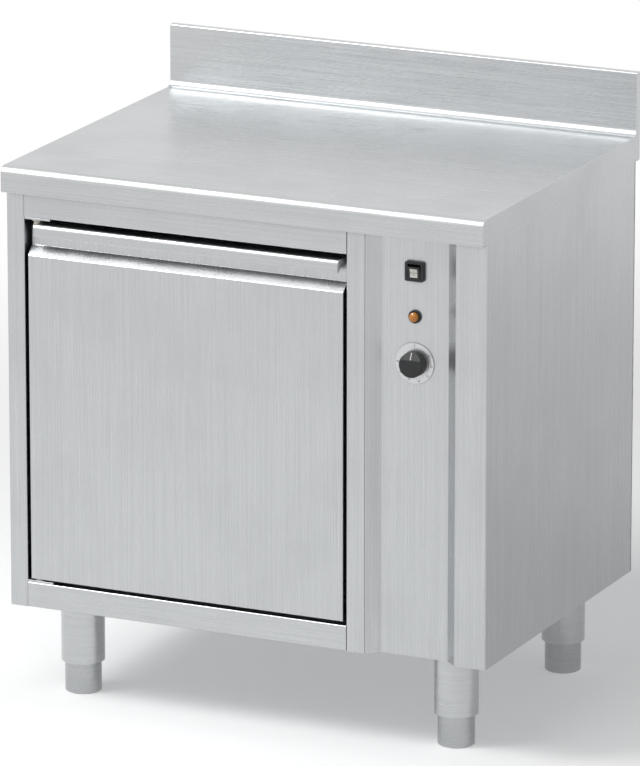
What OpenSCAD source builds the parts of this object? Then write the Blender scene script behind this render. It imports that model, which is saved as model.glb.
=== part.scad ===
// Plate warmer cabinet: a heated single-door cupboard of folded stainless sheet
// with a worktop, an upstand, a control column and four levelling feet.
// X runs across the front, Y from front to back and Z up.
// The origin is on the floor under the middle of the footprint.

/* [Worktop] */
// Width across the worktop and the casing
cabinet_w = 800; // [780:5:900]
// Depth of the worktop from front edge to back
worktop_d = 600; // [590:5:640]
// Height of the worktop above the floor
worktop_z = 850; // [845:5:900]
// Thickness of the worktop
worktop_t = 40; // [36:1:44]
// Height of the upstand above the worktop
upstand_h = 100; // [60:5:150]
// Thickness of the upstand
upstand_t = 14; // [12:1:16]
// Radius of the rolled front edge and of the cove under the upstand
nosing_r = 12; // [8:1:14]
// Overhang of the worktop in front of the casing
front_overhang = 18; // [12:1:24]
// Overhang of the worktop behind the casing
back_overhang = 16; // [16:1:20]

/* [Casing] */
// Height of the casing's underside above the floor
leg_h = 150; // [148:1:152]
// Thickness of the casing sheet
sheet_t = 1.2; // [1:0.1:1.4]
// Inside radius of every sheet fold
fold_r = 1; // [0.6:0.1:1.2]
// Width of the left stile
left_stile_w = 30; // [28:1:34]
// Width of the stile between the door and the controls
centre_stile_w = 30; // [30:1:34]
// Width of the right stile
right_stile_w = 50; // [46:1:56]
// Width of the control bay between the two stiles
bay_w = 150; // [146:1:160]
// Depth of the control panel behind the front
bay_d = 18; // [16:1:20]
// Height of the top and bottom rails
rail_h = 40; // [38:1:42]

/* [Door] */
// Gap all round the door
door_gap = 5.4; // [5:0.1:6]
// Thickness of the door
door_t = 36; // [35:1:37]
// Distance from the top of the door down to the end of its flat front
grip_zone_h = 54.6; // [54:0.1:62]
// Depth of the finger recess behind the handle
grip_d = 16; // [15:1:17]

/* [Cavity] */
// Width of the sealing flange round the cavity
seal_w = 30; // [30:1:32]
// Thickness of the insulation behind the cavity
back_wool_t = 38.8; // [36:0.1:60]
// Height of the guard plate above the cavity floor
guard_h = 43; // [40:1:50]
// Height of the lower shelf runner above the cavity floor
lower_shelf_h = 198; // [180:1:210]
// Height of the upper shelf runner above the cavity floor
upper_shelf_h = 358; // [340:1:370]

/* [Controls] */
// Distance from the top of the casing down to the switch
switch_drop = 58; // [54:1:66]
// Distance from the switch down to the indicator lamp
lamp_drop = 70; // [56:1:80]
// Distance from the lamp down to the thermostat knob
knob_drop = 72; // [64:1:84]
// Radius of the knob
knob_r = 20; // [18:1:21]
// Radius of the dial plate behind the knob
dial_r = 31.3; // [30:0.1:34]

/* [Legs] */
// Radius of the leg tubes
leg_r = 34; // [32:1:36]
// Radius of the feet
foot_r = 28.6; // [26:0.1:29]
// Height of each foot that shows under its tube
foot_h = 50; // [48:1:52]
// Distance of the leg centres from the sides of the casing
leg_side_inset = 83; // [82:1:92]
// Distance of the front legs from the front edge of the worktop
front_leg_inset = 100; // [96:1:112]
// Distance of the back legs from the back edge of the worktop
back_leg_inset = 90; // [85:1:100]

/* [Hidden] */
$fn = 48;
overlap = 0.01;
fold_steps = 4;
curve_steps = 10;
handle_steps = 6;
run_fit = 0.05;
seat_gap = 0.3;

steel = [0.78, 0.79, 0.8];
bright = [0.86, 0.87, 0.88];
galvanised = [0.66, 0.69, 0.71];
wool = [0.86, 0.8, 0.62];
black = [0.08, 0.08, 0.09];
rubber_grey = [0.22, 0.22, 0.23];
brass = [0.78, 0.64, 0.33];
nylon = [0.9, 0.89, 0.84];
amber = [1, 0.55, 0.1];

x_left = -cabinet_w / 2;
x_right = cabinet_w / 2;
top_front_y = -worktop_d / 2;
top_back_y = worktop_d / 2;
front_y = top_front_y + front_overhang;
back_y = top_back_y - back_overhang;
back_sheet_y = back_y - sheet_t;
casing_z0 = leg_h;
casing_z1 = worktop_z - worktop_t;
upstand_y = top_back_y - upstand_t;
upstand_z = worktop_z + upstand_h;
switch_z = casing_z1 - switch_drop;
lamp_z = switch_z - lamp_drop;
knob_z = lamp_z - knob_drop;
leg_x = cabinet_w / 2 - leg_side_inset;
front_leg_y = top_front_y + front_leg_inset;
back_leg_y = top_back_y - back_leg_inset;

open_x0 = x_left + left_stile_w;
bay_x1 = x_right - right_stile_w;
bay_x0 = bay_x1 - bay_w;
open_x1 = bay_x0 - centre_stile_w;
open_z0 = casing_z0 + rail_h;
open_z1 = casing_z1 - rail_h;

splay_w = 20;
panel_y = front_y + bay_d;
panel_back_y = panel_y + sheet_t;
panel_x0 = bay_x0 + splay_w;
panel_x1 = bay_x1 - splay_w;
control_x = (panel_x0 + panel_x1) / 2;

door_x0 = open_x0 + door_gap;
door_x1 = open_x1 - door_gap;
door_z0 = open_z0 + door_gap;
door_z1 = open_z1 - door_gap;
door_back_y = front_y + door_t;
door_flat_z = door_z1 - grip_zone_h;
grip_y = front_y + grip_d;
grip_rise = 14;
grip_z = door_flat_z + grip_rise;

gasket_t = 3.7;
seal_y = door_back_y + gasket_t + seat_gap;
liner_t = 1;
cav_x0 = open_x0 + seal_w;
cav_x1 = open_x1 - seal_w;
cav_z0 = open_z0 + seal_w;
cav_z1 = open_z1 - seal_w;
cav_y1 = back_sheet_y - back_wool_t - liner_t;
cavity_mid_x = (cav_x0 + cav_x1) / 2;
cavity_mid_y = (seal_y + cav_y1) / 2;
cavity_mid_z = (cav_z0 + cav_z1) / 2;
liner_edge = 44;
web_inset = 14;
web_x = bay_x0 - web_inset;

hinge_inset_x = 12;
hinge_inset_y = 10;
hinge_x = door_x0 + hinge_inset_x;
hinge_y = front_y + hinge_inset_y;
pin_r = 4;
bush_r = 5.4;
bush_flange_r = 8;
bush_flange_t = 1.9;
hinge_plate_t = 3.1;

rod_r = 4;
element_rise = 22;
element_left_inset = 70;
element_right_inset = 50;
element_z = cav_z0 + element_rise;
element_x0 = cav_x0 + element_left_inset;
element_x1 = cav_x1 - element_right_inset;
element_runs = 6;
element_pitch = 72;
element_span = element_pitch * (element_runs - 1);
element_y0 = cavity_mid_y - element_span / 2;
element_y1 = cavity_mid_y + element_span / 2;
element_tail = 14;
element_end_x = web_x + element_tail;
ferrule_r = 7;

bulb_drop = 50;
bulb_stand = 8;
bulb_len = 100;
bulb_forward = 60;
bulb_z = cav_z1 - bulb_drop;
bulb_x = cav_x1 - bulb_stand;
bulb_y0 = cavity_mid_y - bulb_forward;
capillary_reach = 30;
capillary_y = bulb_y0 - capillary_reach;
capillary_r = 1;

shaft_r = 3;
dial_t = 2;
switch_w = 30;
switch_hole = 25;
lamp_r = 10;
lamp_hole_r = 8;

gland_side_inset = 100;
gland_rise = 80;
gland_x = x_right - gland_side_inset;
gland_z = casing_z0 + gland_rise;
gland_bore_r = 5.5;
gland_r = 10;
stud_side_inset = 50;
stud_rise = 50;
stud_x = x_right - stud_side_inset;
stud_z = casing_z0 + stud_rise;
stud_r = 3;

// Plane geometry: folded sheet sections and rounded outlines

function unit(v) = v / norm(v);
function right_of(v) = [v[1], -v[0]];
function turn(a, b) = atan2(cross(a, b), a * b);
function spin(v, angle) = [
    v[0] * cos(angle) - v[1] * sin(angle),
    v[0] * sin(angle) + v[1] * cos(angle)
];
function reverse(path) = [for (i = [len(path) - 1 : -1 : 0]) path[i]];
function flat(lists) = [for (list = lists) for (item = list) item];

// Corner p1 rounded to radius r between its two neighbours
function bend(p0, p1, p2, r, steps) =
    let (a = unit(p1 - p0))
    let (b = unit(p2 - p1))
    let (phi = turn(a, b))
    let (start = p1 - a * r * tan(abs(phi) / 2))
    let (centre = start - sign(phi) * r * right_of(a))
    [for (k = [0 : steps]) centre + spin(start - centre, phi * k / steps)];

// Corner p1 moved a distance d to the right of both legs
function shifted_corner(p0, p1, p2, d) =
    let (a = unit(p1 - p0))
    let (b = unit(p2 - p1))
    p1 + (right_of(a) + right_of(b)) * d / (1 + a * b);

function shifted(path, d) = [
    for (i = [0 : len(path) - 1])
        i == 0 ? path[0] + d * right_of(unit(path[1] - path[0]))
        : i == len(path) - 1 ? path[i] + d * right_of(unit(path[i] - path[i - 1]))
        : shifted_corner(path[i - 1], path[i], path[i + 1], d)
];

function rounded(path, r_right, r_left) = concat(
    [path[0]],
    flat([
        for (i = [1 : len(path) - 2])
            let (right_turn = turn(path[i] - path[i - 1], path[i + 1] - path[i]) < 0)
            bend(path[i - 1], path[i], path[i + 1], right_turn ? r_right : r_left, fold_steps)
    ]),
    [path[len(path) - 1]]
);

// Section of a folded sheet that lies to the right of the path
function sheet(path, t = sheet_t, r = fold_r) = concat(
    rounded(path, r + t, r),
    reverse(rounded(shifted(path, t), r, r + t))
);

// Closed outline whose corners have their own radii, 0 for a sharp one
function outline(points, radii, steps = fold_steps) = flat([
    for (i = [0 : len(points) - 1])
        let (n = len(points))
        radii[i] == 0 ? [points[i]]
        : bend(points[(i + n - 1) % n], points[i], points[(i + 1) % n], radii[i], steps)
]);

module box(low, high) {
    translate(low) cube(high - low);
}

// An outline in Y and Z, drawn out along X
module along_x(x0, x1) {
    translate([x0, 0, 0]) rotate([90, 0, 90]) linear_extrude(x1 - x0) children();
}

// An outline in X and Z, drawn out along Y
module along_y(y0, y1) {
    translate([0, y1, 0]) rotate([90, 0, 0]) linear_extrude(y1 - y0) children();
}

// An outline in X and Y, drawn out along Z
module along_z(z0, z1) {
    translate([0, 0, z0]) linear_extrude(z1 - z0) children();
}

module disc_x(x0, x1, y, z, r) {
    translate([x0, y, z]) rotate([0, 90, 0]) cylinder(r = r, h = x1 - x0);
}

module disc_y(x, y0, y1, z, r) {
    translate([x, y1, z]) rotate([90, 0, 0]) cylinder(r = r, h = y1 - y0);
}

module disc_z(x, y, z0, z1, r) {
    translate([x, y, z0]) cylinder(r = r, h = z1 - z0);
}

// A round rod along straight legs, with a ball at each corner
module rod_path(points, r) {
    for (i = [1 : len(points) - 1]) {
        leg = points[i] - points[i - 1];
        translate(points[i - 1])
            rotate([0, acos(leg[2] / norm(leg)), atan2(leg[1], leg[0])])
                cylinder(r = r, h = norm(leg), $fn = 16);
    }
    for (i = [1 : len(points) - 2])
        translate(points[i]) sphere(r = 1.25 * r, $fn = 16);
}

// Worktop

top_skin_t = 1.5;
return_w = 25;
upstand_edge_r = 2;

function top_section(inset) =
    let (r_out = nosing_r - inset)
    let (r_cove = nosing_r + inset)
    outline([
        [top_front_y + inset, casing_z1 + inset],
        [top_front_y + inset, worktop_z - inset],
        [upstand_y + inset, worktop_z - inset],
        [upstand_y + inset, upstand_z - inset],
        [top_back_y - inset, upstand_z - inset],
        [top_back_y - inset, casing_z1 + inset]
    ], [0, r_out, r_cove, upstand_edge_r - inset, upstand_edge_r - inset, 0], curve_steps);

module worktop() {
    color(steel)
        difference() {
            along_x(x_left, x_right) polygon(top_section(0));
            along_x(x_left + top_skin_t, x_right - top_skin_t) polygon(top_section(top_skin_t));
            box(
                [x_left + return_w, top_front_y + return_w, casing_z1 - 1],
                [x_right - return_w, top_back_y - return_w, casing_z1 + 2 * top_skin_t]
            );
        }
}

module worktop_core() {
    core_z1 = worktop_z - top_skin_t;
    color([0.55, 0.42, 0.28]) {
        along_x(x_left + top_skin_t, x_right - top_skin_t)
            polygon(outline([
                [top_front_y + top_skin_t, casing_z1 + top_skin_t],
                [top_front_y + top_skin_t, core_z1],
                [upstand_y - nosing_r, core_z1],
                [upstand_y - nosing_r, casing_z1 + top_skin_t]
            ], [0, nosing_r - top_skin_t, 0, 0], curve_steps));
        box(
            [x_left + return_w, top_front_y + return_w, casing_z1],
            [x_right - return_w, top_back_y - return_w - back_overhang, casing_z1 + 2 * top_skin_t]
        );
    }
}

// Casing panels

stile_return_y = seal_y;
back_flange = 20;
rail_return = 20;
panel_flange = 12;

module left_side_panel() {
    color(steel)
        along_z(casing_z0, casing_z1)
            polygon(sheet([
                [open_x0, stile_return_y],
                [open_x0, front_y],
                [x_left, front_y],
                [x_left, back_sheet_y],
                [x_left + back_flange, back_sheet_y]
            ]));
}

module right_side_panel() {
    color(steel)
        along_z(casing_z0, casing_z1)
            polygon(sheet([
                [x_right - back_flange, back_sheet_y],
                [x_right, back_sheet_y],
                [x_right, front_y],
                [bay_x1, front_y]
            ]));
}

vent_w = 80;
vent_h = 5;
vent_pitch = 14;
vents = 7;
vent_drop = 170;
vent_z0 = casing_z1 - vent_drop;

screw_side_inset = 10;
screw_end_inset = 30;
screw_web_inset = 7;
screw_x = [x_left + screw_side_inset, web_x - screw_web_inset, x_right - screw_side_inset];
screw_z = [casing_z0 + screw_end_inset, (casing_z0 + casing_z1) / 2, casing_z1 - screw_end_inset];
screw_shank_r = 2;
screw_head_r = 4;
screw_head_h = 2.2;
recess_w = 1;
recess_l = 5.2;
recess_d = 0.8;

module back_panel() {
    color(galvanised)
        difference() {
            box([x_left, back_sheet_y, casing_z0], [x_right, back_y, casing_z1]);
            for (i = [0 : vents - 1])
                translate([gland_x - vent_w / 2, back_sheet_y - 1, vent_z0 + i * vent_pitch])
                    cube([vent_w, sheet_t + 2, vent_h]);
            disc_y(gland_x, back_sheet_y - 1, back_y + 1, gland_z, gland_r);
            disc_y(stud_x, back_sheet_y - 1, back_y + 1, stud_z, stud_r);
            for (x = screw_x)
                for (z = screw_z)
                    disc_y(x, back_sheet_y - 1, back_y + 1, z, screw_shank_r);
        }
}

module back_screws() {
    color(bright)
        for (x = screw_x)
            for (z = screw_z)
                translate([x, back_y, z]) {
                    disc_y(0, -sheet_t, overlap, 0, screw_shank_r);
                    difference() {
                        disc_y(0, 0, screw_head_h, 0, screw_head_r);
                        for (size = [[recess_l, recess_w], [recess_w, recess_l]])
                            box(
                                [-size[0] / 2, screw_head_h - recess_d, -size[1] / 2],
                                [size[0] / 2, screw_head_h + 1, size[1] / 2]
                            );
                    }
                }
}

leg_stud_r = 6;
leg_stud_fit = 0.5;
leg_spots = [for (x = [-leg_x, leg_x]) for (y = [front_leg_y, back_leg_y]) [x, y]];

module base_panel() {
    inner_x = x_right - sheet_t;
    column_x0 = open_x1 + 2 * sheet_t;
    notch = 2;
    column_y0 = front_y + rail_return;
    z1 = casing_z0 + sheet_t;
    color(galvanised)
        difference() {
            union() {
                box([-inner_x, seal_y, casing_z0], [inner_x, back_sheet_y - sheet_t, z1]);
                box([column_x0, column_y0, casing_z0], [inner_x, seal_y + overlap, z1]);
                box(
                    [bay_x1 + panel_flange + notch, front_y + 2 * sheet_t, casing_z0],
                    [inner_x, column_y0 + overlap, z1]
                );
            }
            for (spot = leg_spots)
                disc_z(spot[0], spot[1], casing_z0 - 1, z1 + 1, leg_stud_r + leg_stud_fit);
        }
}

module top_rail() {
    color(steel)
        along_x(open_x0, open_x1)
            polygon(sheet([
                [seal_y, open_z1],
                [front_y, open_z1],
                [front_y, casing_z1],
                [front_y + rail_return, casing_z1]
            ]));
}

module bottom_rail() {
    color(steel)
        along_x(open_x0, open_x1)
            polygon(sheet([
                [seal_y, casing_z0],
                [front_y, casing_z0],
                [front_y, open_z0],
                [seal_y, open_z0]
            ]));
}

module centre_stile() {
    color(steel)
        along_z(casing_z0, casing_z1)
            polygon(sheet([
                [bay_x0, front_y],
                [open_x1, front_y],
                [open_x1, stile_return_y]
            ]));
}

capillary_hole_r = 4;

// Holes for the two ends of the heating element
module element_passages(x0, x1, r) {
    for (y = [element_y0, element_y1])
        disc_x(x0, x1, y, element_z, r);
}

// Hole for the thermostat's capillary tube
module capillary_passage(x0, x1) {
    disc_x(x0, x1, capillary_y, bulb_z, capillary_hole_r);
}

partition_flange = 14;
partition_front_flange = 12;
partition_hole_fit = 4;

module column_partition() {
    color(galvanised)
        difference() {
            along_z(casing_z0 + sheet_t, casing_z1)
                polygon(sheet([
                    [web_x - partition_flange, back_sheet_y],
                    [web_x, back_sheet_y],
                    [web_x, front_y + sheet_t],
                    [web_x - partition_front_flange, front_y + sheet_t]
                ]));
            element_passages(web_x - 5, web_x + 5, rod_r + partition_hole_fit);
            capillary_passage(web_x - 5, web_x + 5);
        }
}

splay_reach = splay_w * sheet_t / bay_d;
shaft_fit = 2;

module control_panel() {
    color(steel)
        difference() {
            along_z(casing_z0, casing_z1)
                polygon(sheet([
                    [bay_x1 + panel_flange, front_y + sheet_t],
                    [bay_x1 - splay_reach, front_y + sheet_t],
                    [panel_x1, panel_y],
                    [panel_x0, panel_y],
                    [bay_x0 + splay_reach, front_y + sheet_t],
                    [bay_x0 - panel_flange, front_y + sheet_t]
                ]));
            box(
                [control_x - switch_hole / 2, panel_y - 1, switch_z - switch_hole / 2],
                [control_x + switch_hole / 2, panel_back_y + 1, switch_z + switch_hole / 2]
            );
            disc_y(control_x, panel_y - 1, panel_back_y + 1, lamp_z, lamp_hole_r);
            disc_y(control_x, panel_y - 1, panel_back_y + 1, knob_z, shaft_r + shaft_fit);
        }
}

// Cavity liner

liner_back_flange = 15;

wall_z0 = cav_z0 - liner_edge;
wall_z1 = cav_z1 + liner_edge;

// The left wall of the liner: both flanges turn away from the cavity
module liner_wall() {
    along_z(wall_z0, wall_z1)
        polygon(sheet([
            [cav_x0 - liner_back_flange, cav_y1],
            [cav_x0, cav_y1],
            [cav_x0, seal_y],
            [cav_x0 - liner_edge, seal_y]
        ], liner_t));
}

module mirror_in_cavity() {
    translate([cav_x0 + cav_x1, 0, 0]) mirror([1, 0, 0]) children();
}

module cavity_left_wall() {
    color(bright) liner_wall();
}

module cavity_right_wall() {
    color(bright)
        difference() {
            mirror_in_cavity() liner_wall();
            element_passages(cav_x1 - 1, cav_x1 + 5, ferrule_r);
            capillary_passage(cav_x1 - 1, cav_x1 + 5);
            box([catch_x0, seal_y - 1, catch_z0], [catch_x1, seal_y + 2, catch_z1]);
        }
}

module cavity_top() {
    color(bright)
        along_x(cav_x0, cav_x1)
            polygon(sheet([
                [cav_y1, cav_z1 + liner_back_flange],
                [cav_y1, cav_z1],
                [seal_y, cav_z1],
                [seal_y, cav_z1 + liner_edge]
            ], liner_t));
}

module cavity_floor() {
    color(bright)
        along_x(cav_x0, cav_x1)
            polygon(sheet([
                [seal_y, cav_z0 - liner_edge],
                [seal_y, cav_z0],
                [cav_y1, cav_z0],
                [cav_y1, cav_z0 - liner_back_flange]
            ], liner_t));
}

module cavity_back() {
    color(bright)
        box(
            [cav_x0 - liner_back_flange, cav_y1, cav_z0 - liner_back_flange],
            [cav_x1 + liner_back_flange, cav_y1 + liner_t, cav_z1 + liner_back_flange]
        );
}

// Mineral wool slabs

slab_y0 = seal_y + liner_t + fold_r;
slab_y1 = cav_y1 - liner_t - fold_r;
wool_fit = 1;
floor_wool_rise = 16;

module insulation_left() {
    color(wool)
        box([x_left + sheet_t, slab_y0, wall_z0], [cav_x0 - liner_t, slab_y1, wall_z1]);
}

module insulation_right() {
    color(wool)
        difference() {
            box([cav_x1 + liner_t, slab_y0, wall_z0], [web_x - sheet_t, slab_y1, wall_z1]);
            element_passages(cav_x1, web_x, ferrule_r + wool_fit);
            capillary_passage(cav_x1, web_x);
            box(
                [catch_x0 - wool_fit, slab_y0 - 1, catch_z0 - wool_fit],
                [catch_x1 + wool_fit, catch_y1 + wool_fit, catch_z1 + wool_fit]
            );
        }
}

module insulation_top() {
    color(wool)
        box([cav_x0, slab_y0, cav_z1 + liner_t], [cav_x1, slab_y1, casing_z1]);
}

module insulation_bottom() {
    color(wool)
        box([cav_x0, slab_y0, casing_z0 + floor_wool_rise], [cav_x1, slab_y1, cav_z0 - liner_t]);
}

module insulation_back() {
    color(wool)
        box(
            [cav_x0 - liner_back_flange, cav_y1 + liner_t, wall_z0],
            [cav_x1 + liner_back_flange, back_sheet_y, wall_z1]
        );
}

// Shelves

runner_w = 16;
runner_h = 22;
frame_rod_r = 3;
wire_r = 2;
wires = 17;
shelf_corner_r = 12;
shelf_clear = 3;
shelf_front_gap = 14;
shelf_back_gap = 6;
runner_front_gap = 12;
runner_back_gap = 4;
runner_fold_r = 1.2;
wire_sink = 0.8;
wire_stick = 1;

module runner_pair() {
    for (h = [lower_shelf_h, upper_shelf_h])
        along_y(seal_y + runner_front_gap, cav_y1 - runner_back_gap)
            polygon(sheet([
                [cav_x0, cav_z0 + h - runner_h],
                [cav_x0, cav_z0 + h],
                [cav_x0 + runner_w, cav_z0 + h]
            ], sheet_t, runner_fold_r));
}

module left_runners() {
    color(bright) runner_pair();
}

module right_runners() {
    color(bright) mirror_in_cavity() runner_pair();
}

// A wire rack whose frame rests on the plane z
module wire_shelf(z) {
    r = frame_rod_r;
    x0 = cav_x0 + shelf_clear + r;
    x1 = cav_x1 - shelf_clear - r;
    y0 = seal_y + shelf_front_gap + r;
    y1 = cav_y1 - shelf_back_gap - r;
    c = shelf_corner_r;
    zc = z + r;
    wire_z = zc + r + wire_r - wire_sink;
    for (y = [y0, y1])
        disc_x(x0 + c, x1 - c, y, zc, r);
    for (x = [x0, x1])
        disc_y(x, y0 + c, y1 - c, zc, r);
    for (corner = [[x0 + c, y0 + c, 180], [x1 - c, y0 + c, 270], [x1 - c, y1 - c, 0], [x0 + c, y1 - c, 90]])
        translate([corner[0], corner[1], zc])
            rotate([0, 0, corner[2]])
                rotate_extrude(angle = 90) translate([c, 0, 0]) circle(r = r, $fn = 24);
    for (i = [1 : wires]) {
        x = x0 + (x1 - x0) * i / (wires + 1);
        disc_y(x, y0 - wire_stick, y1 + wire_stick, wire_z, wire_r);
    }
}

module upper_shelf() {
    color(bright) wire_shelf(cav_z0 + upper_shelf_h);
}

module lower_shelf() {
    color(bright) wire_shelf(cav_z0 + lower_shelf_h);
}

// Heating element under its slotted guard

guard_side_gap = 4;
guard_front_gap = 10;
guard_back_gap = 5;
guard_hole_fit = 3;
guard_x0 = cav_x0 + guard_side_gap;
guard_x1 = cav_x1 - guard_side_gap;
slot_w = 6;
slot_l = 64;
slot_pitch_x = 26;
slot_pitch_y = 88;
slot_side_edge = 25;
slot_end_edge = 40;

module element_guard() {
    guard_z = cav_z0 + guard_h;
    guard_y0 = seal_y + guard_front_gap;
    guard_y1 = cav_y1 - guard_back_gap;
    slot_columns = floor((guard_x1 - guard_x0 - 2 * slot_side_edge) / slot_pitch_x) + 1;
    slot_rows = floor((guard_y1 - guard_y0 - 2 * slot_end_edge) / slot_pitch_y) + 1;
    color(bright)
        difference() {
            along_y(guard_y0, guard_y1)
                polygon(sheet([
                    [guard_x0, cav_z0],
                    [guard_x0, guard_z],
                    [guard_x1, guard_z],
                    [guard_x1, cav_z0]
                ]));
            for (i = [0 : slot_columns - 1])
                for (j = [0 : slot_rows - 1])
                    translate([
                        cavity_mid_x + (i - (slot_columns - 1) / 2) * slot_pitch_x - slot_w / 2,
                        cavity_mid_y + (j - (slot_rows - 1) / 2) * slot_pitch_y - slot_l / 2,
                        guard_z - sheet_t - 1
                    ])
                        cube([slot_w, slot_l, sheet_t + 2]);
            element_passages(guard_x1 - 4, guard_x1 + 1, rod_r + guard_hole_fit);
        }
}

module heating_element() {
    bend_radius = element_pitch / 2;
    color([0.35, 0.33, 0.31]) {
        for (i = [0 : element_runs - 1]) {
            last = i == 0 || i == element_runs - 1;
            disc_x(element_x0, last ? element_end_x : element_x1,
                element_y0 + i * element_pitch, element_z, rod_r);
        }
        for (i = [0 : element_runs - 2]) {
            at_left = i % 2 == 0;
            translate([at_left ? element_x0 : element_x1, element_y0 + (i + 0.5) * element_pitch, element_z])
                rotate([0, 0, at_left ? 90 : -90])
                    rotate_extrude(angle = 180) translate([bend_radius, 0, 0]) circle(r = rod_r, $fn = 24);
        }
    }
}

support_inset = 50;
support_half = 8;
support_past = 14;

module element_supports() {
    top_z = element_z - rod_r;
    color(bright)
        for (x = [element_x0 + support_inset, element_x1 - support_inset])
            along_y(element_y0 - support_past, element_y1 + support_past)
                polygon(sheet([
                    [x - support_half, cav_z0],
                    [x - support_half, top_z],
                    [x + support_half, top_z],
                    [x + support_half, cav_z0]
                ]));
}

ferrule_rim_w = 2;
ferrule_rim_t = 2.5;
ferrule_len = 12;

module element_ferrules() {
    color(brass)
        for (y = [element_y0, element_y1])
            difference() {
                union() {
                    disc_x(cav_x1 - ferrule_rim_t, cav_x1, y, element_z, ferrule_r + ferrule_rim_w);
                    disc_x(cav_x1 - overlap, cav_x1 + ferrule_len, y, element_z, ferrule_r);
                }
                disc_x(cav_x1 - ferrule_rim_t - 1, cav_x1 + ferrule_len + 1, y, element_z, rod_r);
            }
}

// Thermostat

module thermostat_bulb() {
    color(bright)
        disc_y(bulb_x, bulb_y0, bulb_y0 + bulb_len, bulb_z, rod_r);
}

clip_inset = 14;
clip_w = 10;
clip_t = 1;
clip_neck = 1.5;
clip_foot = 12;

module bulb_clips() {
    color(bright)
        for (y = [bulb_y0 + clip_inset, bulb_y0 + bulb_len - clip_inset - clip_w])
            difference() {
                union() {
                    disc_y(bulb_x, y, y + clip_w, bulb_z, rod_r + clip_t);
                    box([bulb_x, y, bulb_z - clip_neck], [cav_x1, y + clip_w, bulb_z + clip_neck]);
                    box([cav_x1 - sheet_t, y, bulb_z - clip_foot], [cav_x1, y + clip_w, bulb_z + clip_foot]);
                }
                disc_y(bulb_x, y - 1, y + clip_w + 1, bulb_z, rod_r);
            }
}

thermostat_d = 36;
thermostat_w = 50;
shaft_depth = 20;
capillary_turn_x = 34;
capillary_drop_x = 54;
capillary_drop_y = 40;
capillary_drop_z = 40;
capillary_entry = 12;
capillary_loop = 30;

module capillary_tube() {
    body_back = panel_back_y + thermostat_d;
    color([0.72, 0.5, 0.35])
        rod_path([
            [bulb_x, bulb_y0, bulb_z],
            [bulb_x, capillary_y, bulb_z],
            [web_x + capillary_turn_x, capillary_y, bulb_z],
            [web_x + capillary_drop_x, capillary_y - capillary_drop_y, knob_z + capillary_drop_z],
            [control_x, body_back + capillary_loop, knob_z + capillary_entry],
            [control_x, body_back, knob_z + capillary_entry]
        ], capillary_r);
}

module thermostat_body() {
    half = thermostat_w / 2;
    color([0.16, 0.15, 0.15])
        difference() {
            box(
                [control_x - half, panel_back_y, knob_z - half],
                [control_x + half, panel_back_y + thermostat_d, knob_z + half]
            );
            disc_y(control_x, panel_back_y - 1, panel_back_y + shaft_depth, knob_z, shaft_r + run_fit);
        }
}

module dial_plate() {
    color(bright)
        difference() {
            disc_y(control_x, panel_y - dial_t, panel_y, knob_z, dial_r);
            disc_y(control_x, panel_y - dial_t - 1, panel_y + 1, knob_z, shaft_r + shaft_fit);
        }
}

knob_proud = 0.3;
knob_y0 = front_y - knob_proud;
knob_y1 = panel_y - dial_t - seat_gap;
knob_socket = 11;
shaft_end_gap = 2;
knob_draft = 1;
knob_foot_r = 0.8;
knob_face_r = 1.6;
knob_chord = 8;
knob_slope = 28;

module knob_shaft() {
    shaft_y1 = panel_back_y + shaft_depth - shaft_end_gap;
    color(brass)
        disc_y(control_x, knob_y1 - knob_socket, shaft_y1, knob_z, shaft_r);
}

module thermostat_knob() {
    knob_h = knob_y1 - knob_y0;
    cut_w = 2 * knob_r + 10;
    color(black)
        difference() {
            translate([control_x, knob_y1, knob_z])
                rotate([90, 0, 0])
                    rotate_extrude()
                        polygon(outline([
                            [0, 0],
                            [knob_r, 0],
                            [knob_r - knob_draft, knob_h],
                            [0, knob_h]
                        ], [0, knob_foot_r, knob_face_r, 0]));
            disc_y(control_x, knob_y1 - knob_socket, knob_y1 + 1, knob_z, shaft_r);
            translate([control_x, knob_y0, knob_z + knob_chord])
                rotate([-knob_slope, 0, 0])
                    translate([-cut_w / 2, -knob_r, 0])
                        cube([cut_w, knob_r + overlap, cut_w]);
        }
}

// Switch and lamp

rocker_inset = 6;
rocker_y = panel_y + rocker_inset;
rocker_tilt = 8;
switch_proud = 5.5;
switch_body_d = 30;
switch_mouth_d = 18;
switch_corner_r = 2.5;
rocker_open = 23;
rocker_side_wall = 1;
rocker_w = 19.6;
rocker_pin_r = 1.5;
rocker_pin_x = 11.7;
rocker_socket_x = 12;
rocker_face_y = 13.5;
rocker_waist_y = 12;
rocker_half_h = 9.8;
rocker_root_h = 7.5;
rocker_heel_h = 5;

module switch_housing() {
    half = switch_w / 2;
    body = switch_hole / 2;
    mouth = rocker_open / 2;
    color(black)
        difference() {
            union() {
                along_y(panel_y - switch_proud, panel_y)
                    translate([control_x, switch_z])
                        polygon(outline(
                            [[-half, -half], [half, -half], [half, half], [-half, half]],
                            [for (i = [0 : 3]) switch_corner_r]
                        ));
                box(
                    [control_x - body, panel_y - overlap, switch_z - body],
                    [control_x + body, panel_y + switch_body_d, switch_z + body]
                );
            }
            box(
                [control_x - mouth + rocker_side_wall, panel_y - switch_proud - 1, switch_z - mouth],
                [control_x + mouth - rocker_side_wall, panel_y + switch_mouth_d, switch_z + mouth]
            );
            disc_x(
                control_x - rocker_socket_x, control_x + rocker_socket_x,
                rocker_y, switch_z, rocker_pin_r + run_fit
            );
        }
}

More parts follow.
